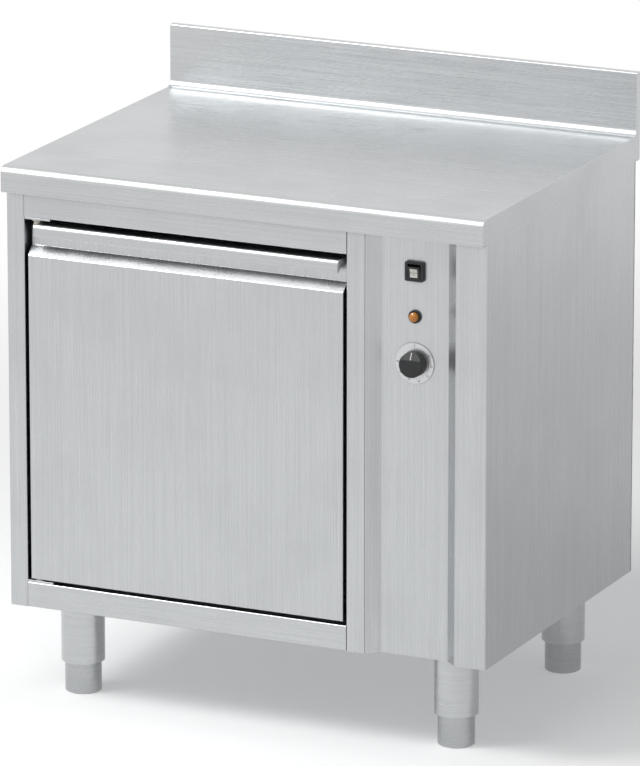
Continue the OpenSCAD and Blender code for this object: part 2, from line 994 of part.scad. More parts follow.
// The rocker rests with its top edge out, which is off
module switch_rocker() {
    color([0.12, 0.12, 0.13]) {
        disc_x(control_x - rocker_pin_x, control_x + rocker_pin_x, rocker_y, switch_z, rocker_pin_r);
        translate([0, rocker_y, switch_z])
            rotate([rocker_tilt, 0, 0])
                along_x(control_x - rocker_w / 2, control_x + rocker_w / 2)
                    polygon(outline([
                        [-rocker_face_y, -rocker_half_h],
                        [-rocker_waist_y, 0],
                        [-rocker_face_y, rocker_half_h],
                        [0, rocker_root_h],
                        [rocker_heel_h, rocker_heel_h],
                        [rocker_heel_h, -rocker_heel_h],
                        [0, -rocker_root_h]
                    ], [0.8, 0, 0.8, 0, 1, 1, 0]));
    }
}

lamp_rim_t = 3;
lamp_body_d = 24;
lamp_wall = 1;
lens_seat = 2;
lens_proud = 7.5;
lens_crown = 2.5;
lens_r = lamp_hole_r - lamp_wall;

module lamp_housing() {
    color(black)
        difference() {
            union() {
                disc_y(control_x, panel_y - lamp_rim_t, panel_y, lamp_z, lamp_r);
                disc_y(control_x, panel_y - overlap, panel_y + lamp_body_d, lamp_z, lamp_hole_r);
            }
            disc_y(control_x, panel_y - lamp_rim_t - 1, panel_y + lens_seat, lamp_z, lens_r);
        }
}

module lamp_lens() {
    rim_y = panel_y - lens_proud;
    ball_r = (lens_r * lens_r + lens_crown * lens_crown) / (2 * lens_crown);
    color(amber) {
        disc_y(control_x, rim_y, panel_y + lens_seat, lamp_z, lens_r);
        intersection() {
            translate([control_x, rim_y - lens_crown + ball_r, lamp_z]) sphere(r = ball_r);
            disc_y(control_x, rim_y - lens_crown - 1, rim_y + overlap, lamp_z, lens_r);
        }
    }
}

// Supply connections

// A hexagonal nut or head whose far end, towards +Y, lies at y1
module hexagon(x, y1, z, r, h) {
    translate([x, y1, z]) rotate([90, 0, 0]) cylinder(r = r, h = h, $fn = 6);
}

terminal_h = 30;
terminal_t = 22;
terminal_rise = 150;
terminal_back_gap = 68;
terminals = 5;
terminal_pitch = 11.5;
terminal_end = 10;
terminal_hole_r = 3;
terminal_hole_d = 12;
terminal_len = (terminals - 1) * terminal_pitch + 2 * terminal_end;

module terminal_block() {
    y0 = back_y - terminal_back_gap - terminal_len;
    z0 = casing_z0 + terminal_rise;
    x1 = web_x + terminal_t;
    color(nylon)
        difference() {
            box([web_x, y0, z0], [x1, y0 + terminal_len, z0 + terminal_h]);
            for (i = [0 : terminals - 1])
                disc_x(x1 - terminal_hole_d, x1 + 1,
                    y0 + terminal_end + i * terminal_pitch, z0 + terminal_h / 2, terminal_hole_r);
        }
}

gland_nut_r = 13.5;
gland_head_h = 6;
gland_nut_h = 5;
gland_tail = 8;
gland_cap_r = 11;
gland_cap_h = 5;
gland_tip_r = 9;
gland_tip_h = 3.5;

module cable_gland() {
    head_y = back_y + gland_head_h;
    cap_y = head_y + gland_cap_h;
    tip_y = cap_y + gland_tip_h;
    color(black)
        difference() {
            union() {
                disc_y(gland_x, back_sheet_y - gland_tail, back_y + overlap, gland_z, gland_r);
                hexagon(gland_x, head_y, gland_z, gland_nut_r, gland_head_h);
                disc_y(gland_x, head_y - overlap, cap_y, gland_z, gland_cap_r);
                disc_y(gland_x, cap_y - overlap, tip_y, gland_z, gland_tip_r);
                hexagon(gland_x, back_sheet_y, gland_z, gland_nut_r, gland_nut_h);
            }
            disc_y(gland_x, back_sheet_y - gland_tail - 1, tip_y + 1, gland_z, gland_bore_r);
        }
}

stud_tail = 6;
stud_proud = 14;
stud_washer_r = 6;
stud_washer_t = 1.2;
stud_nut_r = 5.8;
stud_nut_h = 5;

module bonding_stud() {
    color(brass) {
        disc_y(stud_x, back_sheet_y - stud_tail, back_y + stud_proud, stud_z, stud_r);
        disc_y(stud_x, back_y, back_y + stud_washer_t, stud_z, stud_washer_r);
        hexagon(stud_x, back_sheet_y, stud_z, stud_nut_r, stud_nut_h);
    }
}

// Door

door_skin_t = 1.2;
inner_skin_t = 1;
ridge_r = 3.5;
valley_r = 2;
skin_edge_y = door_back_y - inner_skin_t;
grip_miter = tan(atan2(grip_d, grip_rise) / 2);

function door_section(inset) =
    let (r_edge = fold_r + door_skin_t - inset)
    outline([
        [skin_edge_y + inset, door_z0 + inset],
        [front_y + inset, door_z0 + inset],
        [front_y + inset, door_flat_z - grip_miter * inset],
        [grip_y + inset, grip_z - grip_miter * inset],
        [grip_y + inset, door_z1 - inset],
        [skin_edge_y + inset, door_z1 - inset]
    ], [0, r_edge, ridge_r - inset, valley_r + inset, r_edge, 0]);

function door_plan(inset) =
    let (r_edge = fold_r + door_skin_t - inset)
    outline([
        [door_x0 + inset, door_back_y + 1],
        [door_x0 + inset, front_y + inset],
        [door_x1 - inset, front_y + inset],
        [door_x1 - inset, door_back_y + 1]
    ], [0, r_edge, r_edge, 0]);

module door_solid(inset) {
    intersection() {
        along_x(door_x0 - 1, door_x1 + 1) polygon(door_section(inset));
        along_z(door_z0 - 1, door_z1 + 1) polygon(door_plan(inset));
    }
}

hinge_block_w = 30;
hinge_block_h = 14;
hinge_block_reach = 10;
hinge_block_y1 = hinge_y + hinge_block_reach;
door_in_x0 = door_x0 + door_skin_t;
door_in_z0 = door_z0 + door_skin_t;

module bush_holes() {
    disc_z(hinge_x, hinge_y, door_z0 - 1, door_in_z0 + hinge_block_h + 1, bush_r);
}

module door_outer_skin() {
    color(steel)
        difference() {
            door_solid(0);
            door_solid(door_skin_t);
            bush_holes();
        }
}

dish_margin = 43;
dish_d = 3;
dish_x0 = door_x0 + dish_margin;
dish_x1 = door_x1 - dish_margin;
dish_z0 = door_z0 + dish_margin;
dish_z1 = door_z1 - dish_margin;

// The inner skin has a shallow dish that faces the cavity
module door_inner_skin() {
    t = inner_skin_t;
    color(bright)
        difference() {
            union() {
                box([door_x0, skin_edge_y, door_z0], [door_x1, door_back_y, door_z1]);
                box(
                    [dish_x0 - t, skin_edge_y - dish_d, dish_z0 - t],
                    [dish_x1 + t, skin_edge_y + overlap, dish_z1 + t]
                );
            }
            box([dish_x0, door_back_y - dish_d, dish_z0], [dish_x1, door_back_y + 1, dish_z1]);
        }
}

module door_insulation() {
    t = inner_skin_t;
    color(wool)
        difference() {
            intersection() {
                door_solid(door_skin_t);
                box([door_x0, front_y, door_z0], [door_x1, skin_edge_y, door_z1]);
            }
            box([dish_x0 - t, skin_edge_y - dish_d, dish_z0 - t], [dish_x1 + t, door_back_y, dish_z1 + t]);
            box(
                [door_in_x0 - 1, front_y, door_in_z0 - 1],
                [door_in_x0 + hinge_block_w, hinge_block_y1, door_in_z0 + hinge_block_h]
            );
        }
}

module door_hinge_block() {
    color(galvanised)
        difference() {
            box(
                [door_in_x0 + 1, front_y + door_skin_t + 1, door_in_z0],
                [door_in_x0 + hinge_block_w, hinge_block_y1, door_in_z0 + hinge_block_h]
            );
            bush_holes();
        }
}

gasket_w = 8;
gasket_inset = 5;
gasket_corner_r = 6;

module door_gasket() {
    x0 = cav_x0 - gasket_inset;
    x1 = cav_x1 + gasket_inset;
    z0 = cav_z0 - gasket_inset;
    z1 = cav_z1 + gasket_inset;
    w = gasket_w;
    y1 = door_back_y + gasket_t;
    color(rubber_grey)
        difference() {
            along_y(door_back_y, y1)
                polygon(outline(
                    [[x0 - w, z0 - w], [x1 + w, z0 - w], [x1 + w, z1 + w], [x0 - w, z1 + w]],
                    [for (i = [0 : 3]) gasket_corner_r]
                ));
            box([x0, door_back_y - 1, z0], [x1, y1 + 1, z1]);
        }
}

handle_h = 24.6;
handle_web = 12;
handle_taper = 10;
handle_lip_z = door_z1 - handle_h;
handle_back_z = door_z1 - handle_web;
bush_floor = 1;
lip_t = 2.6;
lip_r = 1;
handle_shoulder = 7;
handle_shoulder_r = 8.5;
handle_top_run = 3;
handle_top_drop = 2;
handle_top_gap = 0.2;
handle_root = 5.5;
handle_root_drop = 2.5;
handle_root_r = 3;

module door_handle() {
    y = front_y;
    color(steel)
        difference() {
            intersection() {
                along_x(door_x0, door_x1)
                    polygon(outline([
                        [y, handle_lip_z],
                        [y, door_z1 - handle_shoulder],
                        [grip_y - handle_top_run, door_z1 - handle_top_drop],
                        [grip_y, door_z1 - handle_top_gap],
                        [grip_y, handle_back_z],
                        [y + handle_root, handle_back_z - handle_root_drop],
                        [y + lip_t, handle_lip_z]
                    ], [lip_r, handle_shoulder_r, 0, 0, 0, handle_root_r, lip_r], handle_steps));
                along_z(handle_lip_z - 1, door_z1 + 1)
                    polygon([
                        [door_x0, grip_y],
                        [door_x0 + handle_taper, y],
                        [door_x1 - handle_taper, y],
                        [door_x1, grip_y]
                    ]);
            }
            disc_z(hinge_x, hinge_y, handle_back_z + bush_floor, door_z1 + 1, bush_r);
        }
}

// One hinge bush: a sleeve with a flange at its outer end
module bush(z_flange, z_body, z_end) {
    low = min(z_flange, z_end);
    high = max(z_flange, z_end);
    difference() {
        union() {
            disc_z(hinge_x, hinge_y, min(z_flange, z_body), max(z_flange, z_body), bush_flange_r);
            disc_z(hinge_x, hinge_y, low, high, bush_r);
        }
        disc_z(hinge_x, hinge_y, low - 1, high + 1, pin_r + run_fit);
    }
}

lower_bush_len = 14;
pin_end_gap = 1;
lower_pin_len = 12;
hinge_plate_past = 26;
hinge_plate_front = 1;
hinge_plate_w = 21;

module door_bushes() {
    color(nylon) {
        bush(door_z0 - bush_flange_t, door_z0, door_z0 + lower_bush_len);
        bush(door_z1 + bush_flange_t, door_z1, handle_back_z + bush_floor);
    }
}

module hinge_brackets() {
    plate_x1 = hinge_x + hinge_plate_past;
    plate_y0 = front_y + hinge_plate_front;
    plate_y1 = plate_y0 + hinge_plate_w;
    upper_pin_z = handle_back_z + bush_floor + pin_end_gap;
    color(bright) {
        box([open_x0, plate_y0, open_z0], [plate_x1, plate_y1, open_z0 + hinge_plate_t]);
        disc_z(hinge_x, hinge_y, open_z0 + hinge_plate_t - overlap, door_z0 + lower_pin_len, pin_r);
        box([open_x0, plate_y0, open_z1 - hinge_plate_t], [plate_x1, plate_y1, open_z1]);
        disc_z(hinge_x, hinge_y, upper_pin_z, open_z1 - hinge_plate_t + overlap, pin_r);
    }
}

catch_side_gap = 15;
catch_w = 10;
catch_h = 50;
catch_x0 = cav_x1 + catch_side_gap;
catch_x1 = catch_x0 + catch_w;
catch_z0 = cavity_mid_z - catch_h / 2;
catch_z1 = cavity_mid_z + catch_h / 2;
strike_t = 1.2;
strike_gap = 0.1;
strike_past = 4;
strike_w = 8;
catch_depth = 14;
catch_y0 = door_back_y + strike_t + strike_gap;
catch_y1 = seal_y + catch_depth;

module magnet_catch() {
    color(black)
        box([catch_x0, catch_y0, catch_z0], [catch_x1, catch_y1, catch_z1]);
}

module catch_strike() {
    color(bright)
        box(
            [catch_x0, door_back_y, catch_z0 - strike_past],
            [catch_x0 + strike_w, door_back_y + strike_t, catch_z1 + strike_past]
        );
}

// Legs and levelling feet

leg_plate_t = 3;
leg_plate_half = 45;
leg_nut_h = 8;
leg_nut_r = 10.5;
leg_cap_t = 3;
stud_end = 2;
tube_t = 1.5;
collar_h = 8;
guide_drop = 48;
guide_h = 6;
guide_z = casing_z0 - guide_drop;
foot_stem_r = 8;
foot_cup_h = 85;
foot_stem_h = 131;
foot_wall = 2.6;
foot_floor = 6;
foot_chamfer = 1.5;

module leg_fixings() {
    plate = leg_plate_half;
    z0 = casing_z0 + sheet_t;
    z1 = z0 + leg_plate_t;
    color(galvanised)
        for (spot = leg_spots)
            translate([spot[0], spot[1], 0])
                difference() {
                    union() {
                        box([-plate, -plate, z0], [plate, plate, z1]);
                        translate([0, 0, z1 - overlap]) cylinder(r = leg_nut_r, h = leg_nut_h, $fn = 6);
                    }
                    disc_z(0, 0, z0 - 1, z1 + leg_nut_h + 1, leg_stud_r);
                }
}

module leg() {
    inner_r = leg_r - tube_t;
    difference() {
        disc_z(0, 0, foot_h, casing_z0, leg_r);
        disc_z(0, 0, foot_h - 1, foot_h + collar_h, foot_r + run_fit);
        disc_z(0, 0, foot_h + collar_h - overlap, guide_z, inner_r);
        disc_z(0, 0, guide_z - 1, guide_z + guide_h + 1, foot_stem_r + run_fit);
        disc_z(0, 0, guide_z + guide_h, casing_z0 - leg_cap_t, inner_r);
    }
    disc_z(0, 0, casing_z0 - overlap, casing_z0 + sheet_t + leg_plate_t + leg_nut_h + stud_end, leg_stud_r);
}

module legs() {
    color(bright)
        for (spot = leg_spots)
            translate([spot[0], spot[1], 0]) leg();
}

// A cup with a central threaded stem, which runs in the guide plate of its tube
module foot(spot) {
    color(bright)
        translate([spot[0], spot[1], 0])
            rotate_extrude()
                polygon([
                    [0, 0],
                    [foot_r - foot_chamfer, 0],
                    [foot_r, foot_chamfer],
                    [foot_r, foot_cup_h],
                    [foot_r - foot_wall, foot_cup_h],
                    [foot_r - foot_wall, foot_floor],
                    [foot_stem_r, foot_floor],
                    [foot_stem_r, foot_stem_h],
                    [0, foot_stem_h]
                ]);
}

module foot_front_left() { foot([-leg_x, front_leg_y]); }
module foot_front_right() { foot([leg_x, front_leg_y]); }
module foot_back_left() { foot([-leg_x, back_leg_y]); }
module foot_back_right() { foot([leg_x, back_leg_y]); }

worktop();
worktop_core();
left_side_panel();
right_side_panel();
back_panel();
base_panel();
top_rail();
bottom_rail();
centre_stile();
column_partition();
control_panel();
cavity_left_wall();
cavity_right_wall();
cavity_top();
cavity_floor();
cavity_back();
insulation_left();
insulation_right();
insulation_top();
insulation_bottom();
insulation_back();
left_runners();
right_runners();
upper_shelf();
lower_shelf();
element_guard();
heating_element();
element_supports();
element_ferrules();
thermostat_bulb();
bulb_clips();
capillary_tube();
thermostat_body();
dial_plate();
knob_shaft();
thermostat_knob();
switch_housing();
switch_rocker();
lamp_housing();
lamp_lens();
terminal_block();
cable_gland();
bonding_stud();
back_screws();
hinge_brackets();
door_outer_skin();
door_inner_skin();
door_insulation();
door_gasket();
door_handle();
door_bushes();
door_hinge_block();
magnet_catch();
catch_strike();
leg_fixings();
legs();
foot_front_left();
foot_front_right();
foot_back_left();
foot_back_right();
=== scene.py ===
# %% [markdown]
# # Plate warmer cabinet
# A plate warmer is a heated cupboard from a restaurant kitchen. Its shell is folded from
# stainless sheet, so almost everything you see here is thin metal with crisp folds.
# The construction comes in finished from the CAD frame. This notebook adds the surfaces,
# the small pieces that make the metal believable, the light and the camera.

# %% Load the frame
import math

import bmesh
import bpy
from mathutils import Matrix, Vector


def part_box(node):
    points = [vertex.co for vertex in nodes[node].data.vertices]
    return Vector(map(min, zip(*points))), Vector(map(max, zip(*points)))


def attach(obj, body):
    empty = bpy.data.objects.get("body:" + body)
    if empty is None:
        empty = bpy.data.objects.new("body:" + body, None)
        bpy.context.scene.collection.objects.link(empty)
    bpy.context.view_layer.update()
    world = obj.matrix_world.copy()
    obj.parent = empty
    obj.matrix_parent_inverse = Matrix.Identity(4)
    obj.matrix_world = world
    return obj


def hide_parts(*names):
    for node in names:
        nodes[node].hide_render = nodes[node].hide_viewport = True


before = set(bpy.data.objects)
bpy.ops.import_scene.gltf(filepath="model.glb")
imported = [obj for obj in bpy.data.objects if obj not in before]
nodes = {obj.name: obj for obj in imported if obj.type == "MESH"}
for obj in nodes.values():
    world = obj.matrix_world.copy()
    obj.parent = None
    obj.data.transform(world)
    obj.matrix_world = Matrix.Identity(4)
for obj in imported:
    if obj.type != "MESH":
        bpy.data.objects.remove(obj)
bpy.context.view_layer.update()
MM = 0.001

# %% [markdown]
# ## Small helpers
# Colours are easiest to choose as sRGB hex codes, the way a colour picker shows them, but
# Blender's sockets want linear light. One function does that conversion. A second one adds
# a shader or geometry node with its settings and its links, so that a whole material
# reads from top to bottom like a recipe.

# %% Helpers for colours, nodes and objects
def linear(code, alpha=1.0):
    """The linear RGBA of an sRGB hex code such as 'c9cac8'."""
    values = [int(code[i:i + 2], 16) / 255 for i in (0, 2, 4)]
    bent = [v / 12.92 if v <= 0.04045 else ((v + 0.055) / 1.055) ** 2.4 for v in values]
    return (*bent, alpha)


def add(tree, kind, inputs=None, **settings):
    """Adds one node. A node or socket is linked, a hex code is a colour, None is left alone."""
    node = tree.nodes.new(kind)
    for name, value in settings.items():
        setattr(node, name, value)
    for key, value in (inputs or {}).items():
        if isinstance(value, bpy.types.Node):
            value = value.outputs[0]
        if isinstance(value, bpy.types.NodeSocket):
            tree.links.new(value, node.inputs[key])
        elif value is not None:
            node.inputs[key].default_value = linear(value) if isinstance(value, str) else value
    return node


def new_material(name):
    """An empty material and its node tree."""
    material = bpy.data.materials.new(name)
    material.use_nodes = True
    material.node_tree.nodes.clear()
    return material, material.node_tree


def in_scene(name, data):
    """A new object for a mesh, lamp, camera or curve, linked to the scene."""
    thing = bpy.data.objects.new(name, data)
    bpy.context.scene.collection.objects.link(thing)
    return thing


def box_mm(name):
    """The lowest and the highest corner of a CAD piece in millimetres."""
    return [Vector(corner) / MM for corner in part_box(name)]


print("mid grey in linear light:", [round(v, 3) for v in linear("808080")[:3]])

# %% [markdown]
# ## The camera
# The picture was taken with a long lens from the right and from above, so the cabinet's
# depth lines barely converge. The distance and the lens were found by matching the
# corners of the worktop, the casing and the feet to the picture.

# %% Place the camera
CAMERA_AT_MM = (4769, -10228.5, 3622.6)
TURN_DEG = 25.02
PITCH_DEG = 15.56
FOCAL_PX = 7590
LONG_SIDE_PX = 766
SENSOR_MM = 36
SEES_AS_FAR_AS_M = 80

camera_data = bpy.data.cameras.new("camera")
camera_data.sensor_width = SENSOR_MM
camera_data.lens = FOCAL_PX / LONG_SIDE_PX * SENSOR_MM
camera_data.clip_end = SEES_AS_FAR_AS_M
camera = in_scene("camera", camera_data)
camera.location = Vector(CAMERA_AT_MM) * MM
camera.rotation_euler = (math.radians(90 - PITCH_DEG), 0, math.radians(TURN_DEG))
bpy.context.scene.camera = camera
print("lens:", round(camera_data.lens, 1), "mm")

# %% [markdown]
# ## The floor
# Brushed steel shows whatever stands around it, so the studio is part of the finish. The
# floor is matt white paper that takes the cabinet's shadow. The camera and every
# reflection see it a little lighter than the lamps make it, and far away it turns plain
# white, so that the picture ends in white paper like a page of a catalogue.

# %% Floor
FLOOR_REACH_M = 30
PAPER_MIDDLE_M = (0.9, 0.2, 0)
PAPER_NEAR_M = 1.7
PAPER_FAR_M = 3.4
PAPER_LIFT = 0.31

corners = [(x * FLOOR_REACH_M, y * FLOOR_REACH_M, 0)
           for x, y in ((-1, -1), (1, -1), (1, 1), (-1, 1))]
floor_mesh = bpy.data.meshes.new("studio_floor")
floor_mesh.from_pydata(corners, [], [(0, 1, 2, 3)])
floor = in_scene("studio_floor", floor_mesh)


def seen_directly(tree):
    """1 for rays from the camera, from a mirror image or through glass, otherwise 0."""
    path = add(tree, "ShaderNodeLightPath")
    either = add(tree, "ShaderNodeMath", {0: path.outputs["Is Camera Ray"],
                                          1: path.outputs["Is Glossy Ray"]}, operation="MAXIMUM")
    return add(tree, "ShaderNodeMath", {0: either, 1: path.outputs["Is Transmission Ray"]},
               operation="MAXIMUM")


paper, tree = new_material("white_backdrop_paper")
place = add(tree, "ShaderNodeTexCoord")
distance = add(tree, "ShaderNodeVectorMath", {0: place.outputs["Object"], 1: PAPER_MIDDLE_M},
               operation="DISTANCE")
far = add(tree, "ShaderNodeMapRange", {0: distance.outputs["Value"], 1: PAPER_NEAR_M,
                                       2: PAPER_FAR_M}, interpolation_type="SMOOTHSTEP")
matt = add(tree, "ShaderNodeBsdfDiffuse", {"Color": "e6e6e6"})
lift = add(tree, "ShaderNodeMath", {0: seen_directly(tree), 1: PAPER_LIFT}, operation="MULTIPLY")
glow = add(tree, "ShaderNodeEmission", {"Color": "ffffff", "Strength": lift})
near_paper = add(tree, "ShaderNodeAddShader", {0: matt, 1: glow})
plain = add(tree, "ShaderNodeEmission", {"Color": "ffffff", "Strength": seen_directly(tree)})
far_fade = add(tree, "ShaderNodeMath", {0: far, 1: seen_directly(tree)}, operation="MULTIPLY")
both = add(tree, "ShaderNodeMixShader", {0: far_fade, 1: near_paper, 2: plain})
add(tree, "ShaderNodeOutputMaterial", {"Surface": both})
floor_mesh.materials.append(paper)
print("floor:", 2 * FLOOR_REACH_M, "m across")

# %% [markdown]
# ## The light
# A studio lights sheet metal with big white panels. One hangs overhead and a little in
# front, and gives the worktop its broad sheen. The strongest hangs high at the front left:
# the cabinet's own shadow then falls behind it on the right, and the side, which mirrors
# that part of the floor, stays a tone darker than the front. A weak panel on the right
# only lifts the shadow.

# %% Lamps and world
AIM_M = (0, 0, 0.45)
# Name, place in metres, width in metres, power in watts
SOFTBOXES = (("overhead_softbox", (-0.9, -1.8, 3.4), 2.4, 35),
             ("front_softbox", (-2.3, -1.9, 3.3), 1.6, 90),
             ("side_softbox", (4.2, -0.4, 2.2), 2.0, 4))
ROOM_STRENGTH = 0.30

for name, at, size, power in SOFTBOXES:
    lamp = bpy.data.lights.new(name, "AREA")
    lamp.energy = power
    lamp.size = size
    holder = in_scene(name, lamp)
    holder.location = at
    holder.rotation_mode = "QUATERNION"
    holder.rotation_quaternion = (Vector(AIM_M) - Vector(at)).to_track_quat("-Z", "Y")

world = bpy.data.worlds.new("studio")
world.use_nodes = True
bpy.context.scene.world = world
tree = world.node_tree
tree.nodes.clear()
room = add(tree, "ShaderNodeBackground", {"Color": "e9ebee", "Strength": ROOM_STRENGTH})
backdrop = add(tree, "ShaderNodeBackground", {"Color": "ffffff", "Strength": 1.0})
shown = add(tree, "ShaderNodeMixShader", {0: seen_directly(tree), 1: room, 2: backdrop})
add(tree, "ShaderNodeOutputWorld", {"Surface": shown})
bpy.context.scene.view_settings.view_transform = "Standard"
print("lamps:", len(SOFTBOXES))

# %% [markdown]
# ## What every finish is made of
# A real surface is never one flat value. Most finishes here start from noise whose grains
# have a size in millimetres, so that its scale can be checked against the real thing. The
# same noise then shifts the colour and the gloss by small amounts. The Bevel node finds
# folds, whose colour is lightened there as a painted highlight, and the Ambient Occlusion
# node finds seams and inner corners, whose colour is darkened there as painted shade.

# %% Building blocks of every finish
def stretched_noise(tree, size_mm, detail=3.0, rough=0.6, seed=0.0):
    """Noise whose grains have the given size in mm along X, Y and Z of the object."""
    place = add(tree, "ShaderNodeTexCoord")
    fit = add(tree, "ShaderNodeMapping", {"Vector": place.outputs["Object"],
                                          "Location": (seed, seed, seed),
                                          "Scale": [1 / (s * MM) for s in size_mm]})
    return add(tree, "ShaderNodeTexNoise", {"Vector": fit, "Scale": 1.0, "Detail": detail,
                                            "Roughness": rough})


def shift_tone(tree, pattern, low, high, first, second, most=1.0):
    """A colour that moves from the first to the second as a pattern grows from low to high."""
    share = add(tree, "ShaderNodeMapRange", {0: pattern, 1: low, 2: high, 3: 0.0, 4: most})
    return add(tree, "ShaderNodeMix", {0: share, 6: first, 7: second}, data_type="RGBA").outputs[2]


def uneven_gloss(tree, *patterns):
    """A roughness added up from two patterns: each with its range and what it gives there."""
    shares = [add(tree, "ShaderNodeMapRange", dict(enumerate(pattern))) for pattern in patterns]
    return add(tree, "ShaderNodeMath", dict(enumerate(shares)), operation="ADD")


# The cosine between the bevelled and the flat normal at which a fold's painted highlight is full
FOLD_COSINE = 0.93
# How open a spot is, from 0 to 1: above the first it gets no painted shade, below the second full
# painted shade
OPEN_SPOT, DEEP_SPOT = 0.85, 0.35


def bevel_and_fold_highlight(tree, radius_mm):
    """The bevelled normal, and how far it leans away from the flat one: the folds, which get the painted
    highlight.
    """
    soft = add(tree, "ShaderNodeBevel", {"Radius": radius_mm * MM}, samples=6)
    shape = add(tree, "ShaderNodeNewGeometry")
    alike = add(tree, "ShaderNodeVectorMath", {0: soft, 1: shape.outputs["Normal"]},
                operation="DOT_PRODUCT")
    return soft, add(tree, "ShaderNodeMapRange", {0: alike.outputs["Value"], 1: 1.0, 2: FOLD_COSINE,
                                                  3: 0.0, 4: 1.0})


def painted_seam_shade(tree, reach_mm):
    """1 deep in a seam or an inner corner, 0 in the open: where the painted shade goes."""
    near = add(tree, "ShaderNodeAmbientOcclusion", {"Distance": reach_mm * MM}, samples=6)
    return add(tree, "ShaderNodeMapRange", {0: near.outputs["AO"], 1: OPEN_SPOT, 2: DEEP_SPOT,
                                            3: 0.0, 4: 1.0})


def round_y_axis(tree, middle):
    """Coordinates centred on an axis along Y, and the distance from it."""
    place = add(tree, "ShaderNodeTexCoord")
    centred = add(tree, "ShaderNodeMapping", {"Vector": place.outputs["Object"], "Scale": (1, 0, 1),
                                              "Location": (-middle[0], 0, -middle[2])})
    return centred, add(tree, "ShaderNodeVectorMath", {0: centred}, operation="LENGTH").outputs["Value"]


def end_material(tree, colour, rough, relief=None, normal=None, **more):
    """Bump, surface and output, which every finish ends in. Relief: height, strength, depth in mm."""
    if relief:
        height, strength, depth_mm = relief
        normal = add(tree, "ShaderNodeBump", {"Height": height, "Strength": strength,
                                              "Distance": depth_mm * MM, "Normal": normal})
    named = {key.replace("_", " "): value for key, value in more.items()}
    surface = add(tree, "ShaderNodeBsdfPrincipled", {"Base Color": colour, "Roughness": rough,
                                                     "Normal": normal, **named})
    add(tree, "ShaderNodeOutputMaterial", {"Surface": surface})


print("building blocks ready")

# %% [markdown]
# ## Satin stainless steel
# Catering cabinets are made of AISI 304 stainless with a number 4 finish: a belt of 180
# grit leaves fine parallel scratches. They stretch highlights across the grain and make
# tiny changes of gloss along it. A real scratch is a few hundredths of a millimetre wide,
# far too fine to show, so the grain is drawn about one millimetre wide. A slow noise adds
# the marks of handling.

# %% Brushed stainless material
GRAIN_WIDTH_MM = 0.7
GRAIN_LENGTH_MM = 130
BAND_WIDTH, BAND_LENGTH = 3.2, 2.4
HANDLING_MM = 150
FOLD_RADIUS_MM = 1.2
SEAM_REACH_MM = 14
# How strongly the painted shade darkens seams and inner corners
SEAM_SHADE = 0.85
BRUSH_DEPTH_MM = 0.05


def brushed_stainless(name, grain, dark="bcbec0", light="c8cacb", gloss=0.27):
    """Satin sheet whose scratches run along the axis grain: 0 for X, 1 for Y, 2 for Z."""
    material, tree = new_material(name)
    size = [GRAIN_WIDTH_MM] * 3
    size[grain] = GRAIN_LENGTH_MM
    coarse = [BAND_WIDTH * GRAIN_WIDTH_MM] * 3
    coarse[grain] = BAND_LENGTH * GRAIN_LENGTH_MM
    scratches = stretched_noise(tree, size)
    bands = stretched_noise(tree, coarse, detail=2.0, seed=3.1)
    handling = stretched_noise(tree, [HANDLING_MM] * 3, seed=7.7)
    soft_normal, folds = bevel_and_fold_highlight(tree, FOLD_RADIUS_MM)
    streaks = add(tree, "ShaderNodeMath", {0: scratches, 1: bands}, operation="MULTIPLY")
    tone = shift_tone(tree, streaks, 0.12, 0.40, dark, light)
    tone = shift_tone(tree, handling, 0.45, 0.75, tone, "a9abad", most=0.22)
    # Painted highlight: the folds are lightened towards a pale grey
    tone = shift_tone(tree, folds, 0.0, 1.0, tone, "d3d4d5")
    # Painted shade: seams and inner corners are darkened towards a dark grey
    tone = shift_tone(tree, painted_seam_shade(tree, SEAM_REACH_MM), 0.0, 1.0, tone, "6b6d6f", most=SEAM_SHADE)
    rough = uneven_gloss(tree, (scratches, 0.3, 0.7, gloss - 0.06, gloss + 0.08),
                         (handling, 0.35, 0.7, -0.025, 0.05))
    end_material(tree, tone, rough, (scratches, 0.5, BRUSH_DEPTH_MM), soft_normal, Metallic=1.0)
    return material


# Brushed 304 reads as pale grey with a soft sheen that breaks into fine lines
steel_along_x = brushed_stainless("stainless_satin_grain_across", 0)
steel_along_z = brushed_stainless("stainless_satin_grain_upright", 2)
print("scratches per 10 mm:", round(10 / GRAIN_WIDTH_MM))

# %% [markdown]
# ## The heated cavity's liner
# The cavity is lined with 2B sheet: cold rolled, smooth and faintly cloudy, with no
# brushed grain. So its noise is broad and soft, with a trace of the rolling direction.

# %% Cold-rolled liner
def cloudy_liner(name="stainless_cold_rolled_2b"):
    """Smooth grey sheet with soft clouds and a faint rolling direction along Y."""
    material, tree = new_material(name)
    clouds = stretched_noise(tree, (60, 160, 60), detail=4.0)
    streaks = stretched_noise(tree, (2.5, 240, 2.5), detail=2.0, seed=2.3)
    soft_normal, folds = bevel_and_fold_highlight(tree, 0.8)
    tone = shift_tone(tree, clouds, 0.25, 0.75, "bcbec0", "c6c8ca")
    # Painted highlight: the folds are lightened towards a pale grey
    tone = shift_tone(tree, folds, 0.0, 1.0, tone, "dddfe0")
    rough = uneven_gloss(tree, (clouds, 0.25, 0.75, 0.29, 0.34), (streaks, 0.3, 0.7, 0.0, 0.06))
    end_material(tree, tone, rough, normal=soft_normal, Metallic=1.0)
    return material


# 2B sheet reads as a softer, milkier grey than the brushed casing
liner = cloudy_liner()
print("liner ready")

# %% [markdown]
# ## Legs, feet and wire
# The legs are drawn tube that was polished while it turned, so its marks run round it.
# Stretching the noise sideways and squeezing it upright gives just that. The feet are
# turned bar and a little duller, and the wire of the shelves is the brightest.

